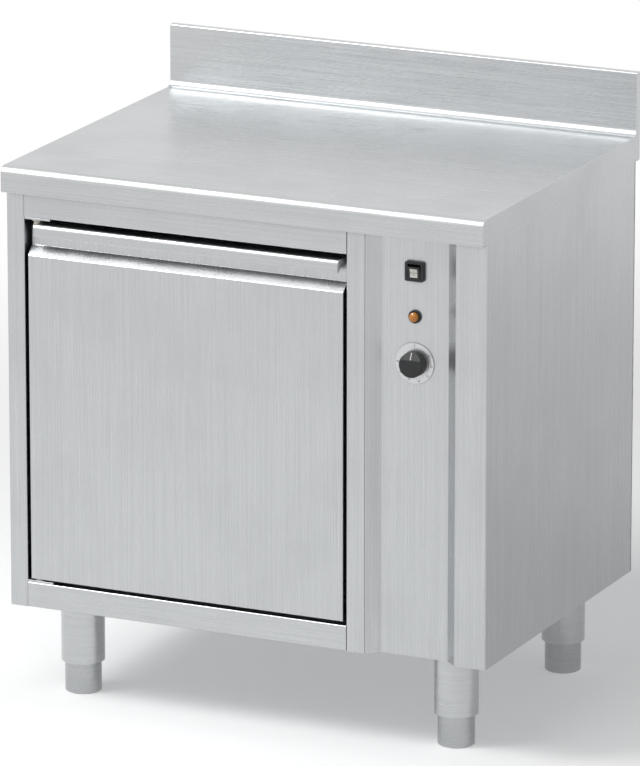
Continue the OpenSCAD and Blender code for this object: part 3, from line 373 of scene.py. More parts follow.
# %% Turned tube, foot and wire
def turned_tube(name, dark, light, gloss):
    """Polished tube or bar whose marks run round an upright axis."""
    material, tree = new_material(name)
    rings = stretched_noise(tree, (160, 160, 0.6), detail=2.0)
    wear = stretched_noise(tree, (18, 18, 30), seed=5.2)
    soft_normal, folds = bevel_and_fold_highlight(tree, 1.0)
    tone = shift_tone(tree, rings, 0.3, 0.7, dark, light)
    # Painted highlight: the folds are lightened towards a pale grey
    tone = shift_tone(tree, folds, 0.0, 1.0, tone, "e6e7e8")
    rough = uneven_gloss(tree, (rings, 0.3, 0.7, gloss - 0.05, gloss + 0.06),
                         (wear, 0.45, 0.75, 0.0, 0.08))
    end_material(tree, tone, rough, (rings, 0.25, BRUSH_DEPTH_MM), soft_normal, Metallic=1.0)
    return material


# Polished tube gives sharp upright highlights between dark edges
tube = turned_tube("stainless_polished_tube", "b7b9ba", "c6c8c9", 0.2)
# Turned bar is a shade darker, with a wider and duller highlight
foot_metal = turned_tube("stainless_turned_foot", "a9abad", "babcbd", 0.24)
# Electropolished wire is the lightest and glints along its whole length
wire_metal = turned_tube("stainless_bright_wire", "b9bbbc", "d0d2d3", 0.17)
print("turned metals: 3")

# %% [markdown]
# ## Galvanised sheet
# Back and base are hot-dip galvanised. Zinc freezes in flat crystals some 10 mm across,
# each with its own gloss. A Voronoi pattern of flat cells copies them well once its
# borders are bent by a noise.

# %% Galvanised spangle
CRYSTAL_MM = 11
# Noise waves per metre, and the share of noise that bends the crystals' borders
BEND_PER_M, BEND_SHARE = 90, 0.012


def spangled_zinc(name="galvanised_spangle"):
    """Hot-dip galvanised sheet: flat crystals of zinc with their own tone and gloss."""
    material, tree = new_material(name)
    place = add(tree, "ShaderNodeTexCoord")
    wobble = add(tree, "ShaderNodeTexNoise", {"Vector": place.outputs["Object"], "Scale": BEND_PER_M,
                                              "Detail": 2.0})
    moved = add(tree, "ShaderNodeMix", {0: BEND_SHARE, 4: place.outputs["Object"],
                                        5: wobble.outputs["Color"]}, data_type="VECTOR")
    cells = add(tree, "ShaderNodeTexVoronoi", {"Vector": moved.outputs[1],
                                               "Scale": 1 / (CRYSTAL_MM * MM)})
    pick = add(tree, "ShaderNodeSeparateColor", {0: cells.outputs["Color"]})
    soft_normal, folds = bevel_and_fold_highlight(tree, 0.8)
    bloom = stretched_noise(tree, (120, 120, 120), detail=4.0, seed=1.9)
    tone = shift_tone(tree, pick, 0.0, 1.0, "989ea2", "b9bec1")
    tone = shift_tone(tree, bloom, 0.5, 0.75, tone, "c4c7c8", most=0.35)
    rough = add(tree, "ShaderNodeMapRange", {0: pick.outputs[1], 1: 0.0, 2: 1.0, 3: 0.3, 4: 0.52})
    end_material(tree, tone, rough, (pick.outputs[2], 0.12, 0.08), soft_normal, Metallic=1.0)
    return material


# Spangle gives a patchwork of blue-grey flakes that flash one by one
galvanised = spangled_zinc()
print("crystals per 100 mm:", round(100 / CRYSTAL_MM))

# %% [markdown]
# ## Plastics and rubber
# Moulded plastic keeps the fine grain of its steel mould, a soft sparkle rather than a
# mirror. Silicone is duller and coarser, because it is extruded through a die.

# %% Moulded plastics
def moulded_plastic(name, code, dust_and_edge_highlight, grain_mm=0.35, gloss=0.42):
    """Injection-moulded plastic with a fine mould grain, paler dust, and edges painted paler as a
    highlight.
    """
    material, tree = new_material(name)
    grain = stretched_noise(tree, [grain_mm] * 3, detail=2.0)
    dust = stretched_noise(tree, (9, 9, 9), detail=4.0, seed=4.4)
    soft_normal, folds = bevel_and_fold_highlight(tree, 0.5)
    tone = shift_tone(tree, dust, 0.45, 0.8, code, dust_and_edge_highlight, most=0.35)
    # Painted highlight: the edges turn paler
    tone = shift_tone(tree, folds, 0.0, 1.0, tone, dust_and_edge_highlight, most=0.55)
    rough = uneven_gloss(tree, (grain, 0.3, 0.7, gloss - 0.06, gloss + 0.1), (dust, 0.4, 0.8, 0.0, 0.1))
    end_material(tree, tone, rough, (grain, 0.25, 0.06), soft_normal)
    return material


# Glass-filled nylon is black with a fine matt sparkle, and its edges are painted greyer as a highlight
black_plastic = moulded_plastic("moulded_black_plastic", "17181a", "2c2e30")
# Undyed nylon is a warm, waxy white
nylon = moulded_plastic("natural_nylon", "dcd8cb", "e9e6dc", gloss=0.38)
# Ivory polycarbonate is the smoothest of the plastics, with a small clear highlight
ivory = moulded_plastic("ivory_switch_plastic", "e4e2da", "f0eee8", gloss=0.3)
# Silicone is a dull charcoal that keeps a greyish bloom
silicone = moulded_plastic("silicone_seal", "3b3c3e", "4b4c4e", grain_mm=0.8, gloss=0.6)
# Dried ink is a dense black, slightly grainy from the mesh of the screen
ink = moulded_plastic("screen_print_ink", "141414", "232323", grain_mm=0.2, gloss=0.5)
print("plastics and ink: 5")

# %% [markdown]
# ## Wool and board
# The wool slabs are pressed rock fibres that lie mostly in layers, so their noise is long
# in one direction. The board under the worktop skin is chipboard, which only its cut
# edges and the underside show. Both are fully matt.

# %% Fibres and chips
def fibrous(name, dark, light, size_mm, depth_mm):
    """A matt body of fibres or chips: two noises of different stretch, strongly bumped."""
    material, tree = new_material(name)
    strands = stretched_noise(tree, size_mm, detail=5.0, rough=0.7)
    clumps = stretched_noise(tree, [6 * max(size_mm)] * 3, seed=6.1)
    both = add(tree, "ShaderNodeMath", {0: strands, 1: clumps}, operation="ADD")
    tone = shift_tone(tree, both, 0.7, 1.3, dark, light)
    end_material(tree, tone, 0.95, (both, 0.9, depth_mm))
    return material


# Rock wool is mustard brown and looks soft, because its fibres shade each other
wool = fibrous("mineral_wool_slab", "8c7a4c", "c2b07c", (1.2, 9, 1.2), 1.2)
# Chipboard shows flat chips of light and dark wood
chipboard = fibrous("raw_chipboard", "7d5f3d", "b89468", (4, 4, 1.2), 0.3)
print("fibrous bodies: 2")

# %% [markdown]
# ## Brass, copper and the hot element
# Brass fittings and the thermostat's copper tube are turned or drawn, then tarnish
# unevenly. The element's sheath has been hot many times: oxide turns it brown and blue
# grey, with soot in fine specks.

# %% Small metals
def soft_metal(name, dark, light, gloss):
    """Turned brass or drawn copper with a thin, uneven tarnish."""
    material, tree = new_material(name)
    tarnish = stretched_noise(tree, (7, 7, 7), detail=4.0)
    turning = stretched_noise(tree, (8, 0.4, 8), detail=2.0, seed=3.3)
    soft_normal, _ = bevel_and_fold_highlight(tree, 0.4)
    tone = shift_tone(tree, tarnish, 0.35, 0.7, light, dark)
    rough = uneven_gloss(tree, (tarnish, 0.3, 0.7, gloss, gloss + 0.18), (turning, 0.3, 0.7, 0.0, 0.06))
    end_material(tree, tone, rough, normal=soft_normal, Metallic=1.0)
    return material


def heated_sheath(name="heat_stained_sheath"):
    """Incoloy sheath with oxide colours that change slowly along the rod."""
    material, tree = new_material(name)
    stain = stretched_noise(tree, (70, 40, 70))
    soot = stretched_noise(tree, (2.5, 2.5, 2.5), detail=4.0, seed=8.3)
    tone = shift_tone(tree, stain, 0.35, 0.62, "5b5048", "484b52")
    tone = shift_tone(tree, soot, 0.5, 0.75, tone, "2f2c2a", most=0.6)
    rough = add(tree, "ShaderNodeMapRange", {0: soot, 1: 0.3, 2: 0.7, 3: 0.45, 4: 0.65})
    end_material(tree, tone, rough, (soot, 0.3, 0.08), Metallic=0.7)
    return material


# Brass is warm yellow, browned in patches
brass = soft_metal("turned_brass", "8f7438", "c6a659", 0.22)
# Drawn copper is salmon red, darker where it was handled
copper = soft_metal("drawn_copper", "8a5236", "c07a55", 0.25)
# Oxide takes most of the shine away and leaves brown and blue-grey bands
sheath = heated_sheath()
print("small metals: 3")

# %% [markdown]
# ## The indicator lens
# The lens is clear amber polycarbonate. Fine rings moulded round its middle scatter the
# light of the small lamp behind it; their paler bands are painted into the colour as a
# highlight, so the pattern follows the distance from its axis.

# %% Amber lens
LENS_RING_MM = 1.1


def ringed_lens(name, middle):
    """Clear amber with moulded rings round the lens's own axis, which lies along Y."""
    material, tree = new_material(name)
    _, radius = round_y_axis(tree, middle)
    turns = add(tree, "ShaderNodeMath", {0: radius, 1: 2 * math.pi / (LENS_RING_MM * MM)},
                operation="MULTIPLY")
    wave = add(tree, "ShaderNodeMath", {0: turns}, operation="SINE")
    haze = stretched_noise(tree, (3, 3, 3), detail=2.0)
    # Painted highlight: rings of paler amber
    tone = shift_tone(tree, wave, -1.0, 1.0, "f08a1c", "ffb347", most=0.7)
    rough = add(tree, "ShaderNodeMapRange", {0: haze, 1: 0.3, 2: 0.7, 3: 0.06, 4: 0.16})
    end_material(tree, tone, rough, (wave, 0.35, 0.12), Transmission_Weight=0.35, Coat_Weight=0.3,
                 IOR=1.49)
    return material


# Clear amber glows orange, with rings painted paler as a highlight where they would catch the light
lens_low, lens_high = box_mm("lamp_lens")
amber = ringed_lens("amber_polycarbonate", (lens_low + lens_high) / 2 * MM)
print("lens is", round(lens_high.x - lens_low.x), "mm across")

# %% [markdown]
# ## The dial's disc
# Behind the knob sits a satin disc. The brushing of such a disc runs round its centre,
# because it is ground while it spins, so its noise is stretched along the angle.

# %% Spun satin disc
# Real rings are far too fine to show, so a wave of noise is drawn about half a millimetre wide
RINGS_PER_M = 2200


def spun_disc(name, middle):
    """Satin metal brushed in circles round an axis along Y."""
    material, tree = new_material(name)
    centred, radius = round_y_axis(tree, middle)
    parts = add(tree, "ShaderNodeSeparateXYZ", {0: centred})
    angle = add(tree, "ShaderNodeMath", {0: parts.outputs[0], 1: parts.outputs[2]}, operation="ARCTAN2")
    across = add(tree, "ShaderNodeMath", {0: radius, 1: RINGS_PER_M}, operation="MULTIPLY")
    polar = add(tree, "ShaderNodeCombineXYZ", {0: across, 1: angle})
    rings = add(tree, "ShaderNodeTexNoise", {"Vector": polar, "Scale": 1.0, "Detail": 2.0})
    tone = shift_tone(tree, rings, 0.3, 0.7, "c3c4c5", "d8d9da")
    rough = add(tree, "ShaderNodeMapRange", {0: rings, 1: 0.3, 2: 0.7, 3: 0.22, 4: 0.36})
    end_material(tree, tone, rough, (rings, 0.4, 0.04), Metallic=1.0)
    return material


# A spun disc shows two opposite fans of light that meet in its middle
dial_low, dial_high = box_mm("dial_plate")
dial_centre = Vector(((dial_low.x + dial_high.x) / 2, dial_low.y, (dial_low.z + dial_high.z) / 2))
satin_disc = spun_disc("spun_satin_disc", dial_centre * MM)
print("dial is", round(dial_high.x - dial_low.x, 1), "mm across")

# %% [markdown]
# ## Dressing the construction
# Every CAD piece gets the finish of the real one. On a folded cabinet the grain follows
# the sheet: it runs across the worktop, the rails and the handle, and upright on the
# sides, the stiles, the door and the control panel.

# %% Dress the CAD pieces
FINISHES = (
    (steel_along_x, "worktop top_rail bottom_rail door_handle"),
    (steel_along_z, "left_side_panel right_side_panel centre_stile control_panel door_outer_skin"),
    (liner, "cavity_left_wall cavity_right_wall cavity_top cavity_floor cavity_back left_runners "
            "right_runners element_guard element_supports door_inner_skin bulb_clips catch_strike "
            "hinge_brackets"),
    (wire_metal, "upper_shelf lower_shelf thermostat_bulb back_screws"),
    (tube, "legs"),
    (foot_metal, "foot_front_left foot_front_right foot_back_left foot_back_right"),
    (galvanised, "back_panel base_panel column_partition leg_fixings door_hinge_block"),
    (wool, "insulation_left insulation_right insulation_top insulation_bottom insulation_back "
           "door_insulation"),
    (chipboard, "worktop_core"),
    (black_plastic, "thermostat_knob switch_housing switch_rocker lamp_housing cable_gland "
                    "thermostat_body magnet_catch"),
    (sheath, "heating_element"),
    (brass, "element_ferrules knob_shaft bonding_stud"),
    (copper, "capillary_tube"),
    (amber, "lamp_lens"),
    (nylon, "door_bushes terminal_block"),
    (silicone, "door_gasket"),
    (satin_disc, "dial_plate"),
)
dressed = 0
for material, names in FINISHES:
    for name in names.split():
        mesh = nodes[name].data
        mesh.materials.clear()
        mesh.materials.append(material)
        dressed += 1
print("dressed", dressed, "of", len(nodes))

# %% [markdown]
# ## One way to make everything that repeats
# Screws, rivets, louvres and dial marks are each one small shape set down many times.
# Geometry Nodes do that well: the tree takes its sizes as named inputs, sets the shape on
# points, and can be changed later without redrawing anything. The result is then kept
# as a plain mesh, because an exported part should hold no live modifiers.

# %% Helpers for Geometry Nodes
def geometry_tree(name, **inputs):
    """A tree with one geometry input, named size inputs and one geometry output."""
    tree = bpy.data.node_groups.new(name, "GeometryNodeTree")
    tree.interface.new_socket("Geometry", in_out="INPUT", socket_type="NodeSocketGeometry")
    for label, kind in inputs.items():
        tree.interface.new_socket(label.replace("_", " "), in_out="INPUT",
                                  socket_type="NodeSocket" + kind)
    tree.interface.new_socket("Geometry", in_out="OUTPUT", socket_type="NodeSocketGeometry")
    return tree, add(tree, "NodeGroupInput").outputs


def end_tree(tree, geometry, material):
    """Realize Instances, Set Material and the output, which every tree here ends in."""
    real = add(tree, "GeometryNodeRealizeInstances", {0: geometry})
    finished = add(tree, "GeometryNodeSetMaterial", {"Geometry": real, "Material": material})
    add(tree, "NodeGroupOutput", {0: finished})


def evaluated_mesh(thing):
    """What an object's modifiers make of it, as a plain mesh."""
    return bpy.data.meshes.new_from_object(thing.evaluated_get(bpy.context.evaluated_depsgraph_get()))


def bake(name, tree, spots_mm, body, slot, sizes_mm, **values):
    """Runs a tree on points and keeps what it makes as a plain piece in metres."""
    carrier = bpy.data.meshes.new(name)
    carrier.from_pydata([tuple(Vector(spot) * MM) for spot in spots_mm], [], [])
    piece = in_scene(name, carrier)
    modifier = piece.modifiers.new(tree.name, "NODES")
    modifier.node_group = tree
    values.update({label: size * MM for label, size in sizes_mm.items()})
    for item in tree.interface.items_tree:
        label = item.name.replace(" ", "_")
        if item.in_out == "INPUT" and label in values:
            modifier[item.identifier] = values[label]
    result = evaluated_mesh(piece)
    piece.modifiers.remove(modifier)
    piece.data = result
    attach(piece, body)
    print(name + ":", len(result.polygons), "faces")


# Which way a head faces, as a rotation of a head that faces up
RIGHT, LEFT = (0, math.pi / 2, 0), (0, -math.pi / 2, 0)
BACK, UP, DOWN = (-math.pi / 2, 0, 0), (0, 0, 0), (math.pi, 0, 0)
ONE_SPOT = [(0, 0, 0)]
print("helpers ready")

# %% [markdown]
# ## Screws and rivets
# The shelf runners are screwed to the liner, and the door's inner skin is closed with
# blind rivets. A pan head is a low dome with a cross recess. Its tree cuts the recess and
# the flat underside out of a sphere with a boolean, so that the light catches real edges.
# A blind rivet is the same dome with the small hole that its pulled pin leaves.

# %% Trees for domed heads
DOME_SEGMENTS, DOME_RINGS, PIN_HOLE_SIDES = 20, 12, 10


def domed_heads(name, recess):
    """Heads on points: a dome with a cross, a single slot or the hole of a blind rivet."""
    tree, given = geometry_tree(name, Radius="Float", Height="Float", Recess_Length="Float",
                                Recess_Width="Float", Recess_Depth="Float", Turn="Rotation",
                                Material="Material")
    radius, height = given["Radius"], given["Height"]
    long, wide = given["Recess Length"], given["Recess Width"]
    ball = add(tree, "GeometryNodeMeshUVSphere", {"Segments": DOME_SEGMENTS, "Rings": DOME_RINGS,
                                                  "Radius": 1.0})
    size = add(tree, "ShaderNodeCombineXYZ", {0: radius, 1: radius, 2: height})
    dome = add(tree, "GeometryNodeTransform", {"Geometry": ball, "Scale": size})
    deep = add(tree, "ShaderNodeMath", {0: given["Recess Depth"], 1: 2.0}, operation="MULTIPLY")
    top = add(tree, "ShaderNodeCombineXYZ", {2: height})
    cutters = []
    if recess == "hole":
        half = add(tree, "ShaderNodeMath", {0: wide, 1: 0.5}, operation="MULTIPLY")
        pin = {"Vertices": PIN_HOLE_SIDES, "Radius": half, "Depth": deep}
        cutters.append((add(tree, "GeometryNodeMeshCylinder", pin), top))
    bars = {"cross": ((long, wide), (wide, long)), "slot": ((long, wide),), "hole": ()}
    for along_x, along_y in bars[recess]:
        bar = add(tree, "ShaderNodeCombineXYZ", {0: along_x, 1: along_y, 2: deep})
        cutters.append((add(tree, "GeometryNodeMeshCube", {"Size": bar}), top))
    across = add(tree, "ShaderNodeMath", {0: radius, 1: 4.0}, operation="MULTIPLY")
    tall = add(tree, "ShaderNodeMath", {0: height, 1: 2.0}, operation="MULTIPLY")
    below = add(tree, "ShaderNodeMath", {0: height, 1: -1.0}, operation="MULTIPLY")
    sunk = add(tree, "ShaderNodeCombineXYZ", {2: below})
    block = add(tree, "ShaderNodeCombineXYZ", {0: across, 1: across, 2: tall})
    cutters.append((add(tree, "GeometryNodeMeshCube", {"Size": block}), sunk))
    cut = add(tree, "GeometryNodeMeshBoolean", {0: dome}, operation="DIFFERENCE", solver="EXACT")
    for cutter, at in cutters:
        placed = add(tree, "GeometryNodeTransform", {"Geometry": cutter, "Translation": at})
        tree.links.new(placed.outputs[0], cut.inputs[1])
    many = add(tree, "GeometryNodeInstanceOnPoints", {"Points": given["Geometry"], "Instance": cut,
                                                      "Rotation": given["Turn"]})
    end_tree(tree, many, given["Material"])
    return tree


cross_heads = domed_heads("cross_recess_heads", "cross")
slot_heads = domed_heads("slotted_heads", "slot")
rivet_heads = domed_heads("blind_rivet_heads", "hole")
print("trees:", len(bpy.data.node_groups))

# %% Screws of the shelf runners
SHEET_MM = 1.2
RUNNER_SCREW_DROP_MM = 12
SCREW_SPREAD_MM = (-195, 0, 195)
RUNNER_SCREW_MM = dict(Radius=3.5, Height=1.6, Recess_Length=3.6, Recess_Width=0.9, Recess_Depth=0.8)

runner_low, runner_high = box_mm("left_runners")
shelf_low, _ = box_mm("lower_shelf")
_, right_runner_high = box_mm("right_runners")
heights = (shelf_low.z - RUNNER_SCREW_DROP_MM, runner_high.z - RUNNER_SCREW_DROP_MM)
for name, x, turn in (("runner_screws_left", runner_low.x + SHEET_MM, RIGHT),
                      ("runner_screws_right", right_runner_high.x - SHEET_MM, LEFT)):
    spots = [(x, y, z) for y in SCREW_SPREAD_MM for z in heights]
    bake(name, cross_heads, spots, "cabinet", "bright_stainless", RUNNER_SCREW_MM, Turn=turn,
         Material=wire_metal)

# %% [markdown]
# ## A frame of rivets
# The door's two skins are joined where nobody looks, on the inside. The rivets stand in
# one line round the edge at an even pitch, so their points are four rows with the corners
# counted once.

# %% Rivets of the door's inner skin
RIVET_INSET_MM = 31.5
RIVETS_ACROSS, RIVETS_UP = 6, 7
RIVET_MM = dict(Radius=3.2, Height=1.1, Recess_Width=1.6, Recess_Depth=0.6)

skin_low, skin_high = box_mm("door_inner_skin")
x0, x1 = skin_low.x + RIVET_INSET_MM, skin_high.x - RIVET_INSET_MM
z0, z1 = skin_low.z + RIVET_INSET_MM, skin_high.z - RIVET_INSET_MM
across = [x0 + (x1 - x0) * i / (RIVETS_ACROSS - 1) for i in range(RIVETS_ACROSS)]
upward = [z0 + (z1 - z0) * i / (RIVETS_UP - 1) for i in range(1, RIVETS_UP - 1)]
corners = [(x, z) for x in across for z in (z0, z1)] + [(x, z) for x in (x0, x1) for z in upward]
spots = [(x, skin_high.y, z) for x, z in corners]
bake("door_rivets", rivet_heads, spots, "door", "bright_stainless", RIVET_MM, Turn=BACK,
     Material=wire_metal)

# %% [markdown]
# ## Screws that hold the hinge pins and the wires
# Each hinge plate is held by one low screw behind the door's edge. The terminal block has
# a row of slotted brass screws, one over each wire. They come from the same trees.

# %% Screws of the hinge plates and the terminal block
PLATE_SCREW_INSET_MM = 8
PLATE_MM = 3.1
PLATE_SCREW_MM = dict(Radius=3.4, Height=0.6, Recess_Length=3.4, Recess_Width=0.8, Recess_Depth=0.4)
TERMINALS, TERMINAL_PITCH_MM, TERMINAL_END_MM = 5, 11.5, 10
TERMINAL_SCREW_MM = dict(Radius=2.8, Height=1.0, Recess_Length=6, Recess_Width=0.7, Recess_Depth=0.6)

plate_low, plate_high = box_mm("hinge_brackets")
plate_x = plate_high.x - PLATE_SCREW_INSET_MM
plate_y = (plate_low.y + plate_high.y) / 2
for name, z, turn in (("hinge_screw_lower", plate_low.z + PLATE_MM, UP),
                      ("hinge_screw_upper", plate_high.z - PLATE_MM, DOWN)):
    bake(name, cross_heads, [(plate_x, plate_y, z)], "cabinet", "bright_stainless", PLATE_SCREW_MM,
         Turn=turn, Material=wire_metal)

block_low, block_high = box_mm("terminal_block")
block_x = (block_low.x + block_high.x) / 2
spots = [(block_x, block_low.y + TERMINAL_END_MM + i * TERMINAL_PITCH_MM, block_high.z)
         for i in range(TERMINALS)]
bake("terminal_screws", slot_heads, spots, "cabinet", "brass_fittings", TERMINAL_SCREW_MM, Turn=UP,
     Material=brass)

# %% [markdown]
# ## Vent louvres
# Warm air leaves the control column through slots in the back. On the real panel each
# slot is lanced and its upper lip pressed outwards, which gives a small hood that keeps
# drips out. The hood is bent from a grid: a quarter arc from the sheet outwards, which
# sinks back into the sheet at both ends. A tree then stacks one hood over each slot.
# Shapes are worked out in millimetres and made small at the end. Turning the faces outwards
# can leave a thin plate inside out, which a negative volume shows, so that one is turned over.

# %% Close a shape, and press one hood
WELD_MM = 0.001
VENTS, VENT_PITCH_MM, VENT_W_MM, VENT_H_MM, VENT_DROP_MM = 7, 14, 80, 5, 170
HOOD_D_MM, HOOD_H_MM, HOOD_LIP_MM, HOOD_T_MM, HOOD_END_MM = 4.6, 8.0, 2.2, 0.8, 1.5
HOOD_COLUMNS, HOOD_ROWS = 24, 6
# A high power keeps the hood deep along its length and rounds only its ends
HOOD_SQUARENESS = 7

_, back_high = box_mm("back_panel")
gland_low, gland_high = box_mm("cable_gland")
vent_x = (gland_low.x + gland_high.x) / 2
first_vent_z = back_high.z - VENT_DROP_MM


def closed_mesh(shape, mesh):
    """Welds a shape made in mm, turns its faces outwards and writes it into a mesh in metres."""
    bmesh.ops.remove_doubles(shape, verts=shape.verts, dist=WELD_MM)
    shape.normal_update()
    bmesh.ops.recalc_face_normals(shape, faces=shape.faces)
    if shape.calc_volume(signed=True) < 0:
        bmesh.ops.reverse_faces(shape, faces=shape.faces)
    shape.transform(Matrix.Scale(MM, 4))
    shape.to_mesh(mesh)
    shape.free()


def pressed_hood():
    """One hood as a template for the tree."""
    grid = []
    for i in range(HOOD_COLUMNS + 1):
        side = 2 * i / HOOD_COLUMNS - 1
        depth = HOOD_D_MM * max(0.0, 1 - abs(side) ** HOOD_SQUARENESS) ** 0.5
        x = vent_x + side * (VENT_W_MM / 2 + HOOD_END_MM)
        for j in range(HOOD_ROWS + 1):
            angle = math.pi / 2 * j / HOOD_ROWS
            y = back_high.y + depth * math.sin(angle)
            z = first_vent_z + VENT_H_MM + HOOD_LIP_MM - HOOD_H_MM * (1 - math.cos(angle))
            grid.append((x, y, z))
    column = HOOD_ROWS + 1
    faces = [(i * column + j, (i + 1) * column + j, (i + 1) * column + j + 1, i * column + j + 1)
             for i in range(HOOD_COLUMNS) for j in range(HOOD_ROWS)]
    mesh = bpy.data.meshes.new("hood_template")
    mesh.from_pydata(grid, [], faces)
    template = in_scene("hood_template", mesh)
    wall = template.modifiers.new("wall", "SOLIDIFY")
    wall.thickness = HOOD_T_MM
    wall.offset = 0
    solid = evaluated_mesh(template)
    template.modifiers.clear()
    shape = bmesh.new()
    shape.from_mesh(solid)
    closed_mesh(shape, solid)
    template.data = solid
    return template


hood = pressed_hood()
print("hood:", len(hood.data.polygons), "faces")

# %% Stack the hoods
stack, given = geometry_tree("stacked_louvres", Hood="Object", Count="Int", Pitch="Float",
                             Material="Material")
rise = add(stack, "ShaderNodeCombineXYZ", {2: given["Pitch"]})
line = add(stack, "GeometryNodeMeshLine", {"Count": given["Count"], "Offset": rise})
hood_in = add(stack, "GeometryNodeObjectInfo", {"Object": given["Hood"]})
hoods = add(stack, "GeometryNodeInstanceOnPoints", {"Points": line,
                                                    "Instance": hood_in.outputs["Geometry"]})
end_tree(stack, hoods, given["Material"])
bake("vent_louvres", stack, ONE_SPOT, "cabinet", "galvanised_steel", dict(Pitch=VENT_PITCH_MM),
     Hood=hood, Count=VENTS, Material=galvanised)
bpy.data.objects.remove(hood)

# %% [markdown]
# ## The gland's ribs
# A cable gland's cap has small ribs for the fingers. They stand round its rim, one every
# few degrees, so a ring of points with a thin prism on each makes them.

# %% Ribs round the gland's cap
GLAND_RIBS, GLAND_CAP_R_MM = 24, 11
# The cap starts and ends this far behind the back panel
GLAND_CAP_Y_MM = (6, 11)
RIB_LENGTH_MM, RIB_R_MM, RIB_SIDES = 4.4, 0.8, 8

ring, given = geometry_tree("ribs_round_a_cap", Count="Int", Cap_Radius="Float", Rib_Radius="Float",
                            Length="Float", Centre="Vector", Material="Material")
circle = add(ring, "GeometryNodeMeshCircle", {"Vertices": given["Count"], "Radius": given["Cap Radius"]})
rib = add(ring, "GeometryNodeMeshCylinder", {"Vertices": RIB_SIDES, "Radius": given["Rib Radius"],
                                             "Depth": given["Length"]})
ribs = add(ring, "GeometryNodeInstanceOnPoints", {"Points": circle, "Instance": rib})
upright = add(ring, "GeometryNodeTransform", {"Geometry": ribs, "Rotation": (math.pi / 2, 0, 0),
                                              "Translation": given["Centre"]})
end_tree(ring, upright, given["Material"])
cap_y = back_high.y + sum(GLAND_CAP_Y_MM) / 2
cap_centre = Vector((vent_x, cap_y, (gland_low.z + gland_high.z) / 2))
rib_sizes = dict(Cap_Radius=GLAND_CAP_R_MM, Rib_Radius=RIB_R_MM, Length=RIB_LENGTH_MM, Centre=cap_centre)
bake("gland_ribs", ring, ONE_SPOT, "cabinet", "black_plastic", rib_sizes, Count=GLAND_RIBS,
     Material=black_plastic)

# %% [markdown]
# ## The dial's ticks
# The knob turns through 270 degrees from 0 at the top, clockwise, and the scale counts
# degrees Celsius. The ticks are screen-printed ink that stands a few hundredths of a
# millimetre proud. Their tree lays them out from the sweep and the count alone: each
# point's index gives its angle, and the angle gives both its place and its turn.

# %% Ticks round the dial
SWEEP_DEG, TICKS = 270, 28
INK_MM = 0.05
TICK_R_MM, TICK_LENGTH_MM, TICK_WIDTH_MM = 23.3, 2.4, 0.55

ticks, given = geometry_tree("ticks_round_a_dial", Count="Int", Radius="Float", Sweep="Float",
                             Length="Float", Width="Float", Ink="Float", Centre="Vector",
                             Material="Material")
row = add(ticks, "GeometryNodeMeshLine", {"Count": given["Count"]})
steps = add(ticks, "ShaderNodeMath", {0: given["Count"], 1: 1.0}, operation="SUBTRACT")
step = add(ticks, "ShaderNodeMath", {0: given["Sweep"], 1: steps}, operation="DIVIDE")
index = add(ticks, "GeometryNodeInputIndex")
angle = add(ticks, "ShaderNodeMath", {0: index, 1: step}, operation="MULTIPLY")
reach = {}
for axis, wave in ((0, "SINE"), (2, "COSINE")):
    share = add(ticks, "ShaderNodeMath", {0: angle}, operation=wave)
    reach[axis] = add(ticks, "ShaderNodeMath", {0: share, 1: given["Radius"]}, operation="MULTIPLY")
spot = add(ticks, "ShaderNodeCombineXYZ", reach)
placed = add(ticks, "GeometryNodeSetPosition", {"Geometry": row, "Position": spot})
size = add(ticks, "ShaderNodeCombineXYZ", {0: given["Width"], 1: given["Ink"], 2: given["Length"]})
bar = add(ticks, "GeometryNodeMeshCube", {"Size": size})
turn = add(ticks, "ShaderNodeCombineXYZ", {1: angle})
marks = add(ticks, "GeometryNodeInstanceOnPoints", {"Points": placed, "Instance": bar, "Rotation": turn})
moved = add(ticks, "GeometryNodeTransform", {"Geometry": marks, "Translation": given["Centre"]})
end_tree(ticks, moved, given["Material"])
tick_sizes = dict(Radius=TICK_R_MM, Length=TICK_LENGTH_MM, Width=TICK_WIDTH_MM, Ink=INK_MM,
                  Centre=dial_centre)
bake("dial_ticks", ticks, ONE_SPOT, "cabinet", "black_plastic", tick_sizes, Count=TICKS,
     Sweep=math.radians(SWEEP_DEG), Material=ink)

# %% [markdown]
# ## The dial's numbers
# Blender's own font gives plain, even figures. Each number is a text curve with the
# thickness of the ink, made a mesh before it is put in its place round the dial. The
# caps and sides of such a mesh are loose, so they are welded before their faces are
# turned outwards.

# %% Numbers on the dial
# Each number with its angle in degrees from the top
NUMBERS = (("0", 0), ("30", 60), ("40", 95), ("50", 130), ("60", 165), ("70", 200), ("80", 235),
           ("90", 270))
NUMBER_MM, NUMBER_R_MM = 4.3, 27.6
FACING_FRONT = Matrix.Rotation(math.pi / 2, 4, "X")


def printed(shape, words, size_mm, middle, turn):
    """Adds words to a shape in mm, centred on a point and turned by a matrix."""
    curve = bpy.data.curves.new("words", "FONT")
    curve.body = words
    curve.size = size_mm
    curve.align_x, curve.align_y = "CENTER", "CENTER"
    curve.extrude = INK_MM / 2
    holder = in_scene("words", curve)
    mesh = evaluated_mesh(holder)
    mesh.transform(Matrix.Translation(middle) @ turn)
    shape.from_mesh(mesh)
    bpy.data.objects.remove(holder)


def finished_piece(name, shape, body, material, sharp_deg=None):
    """Makes a shape a piece that rides on its body. With an angle, only sharper edges show."""
    mesh = bpy.data.meshes.new(name)
    closed_mesh(shape, mesh)
    if sharp_deg:
        mesh.shade_smooth()
        mesh.set_sharp_from_angle(angle=math.radians(sharp_deg))
    mesh.materials.append(material)
    piece = in_scene(name, mesh)
    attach(piece, body)
    print(name + ":", len(mesh.polygons), "faces")
    return piece


shape = bmesh.new()
for words, degrees in NUMBERS:
    a = math.radians(degrees)
    middle = dial_centre + Vector((math.sin(a), 0, math.cos(a))) * NUMBER_R_MM
    printed(shape, words, NUMBER_MM, middle, FACING_FRONT)
finished_piece("dial_numbers", shape, "cabinet", ink)

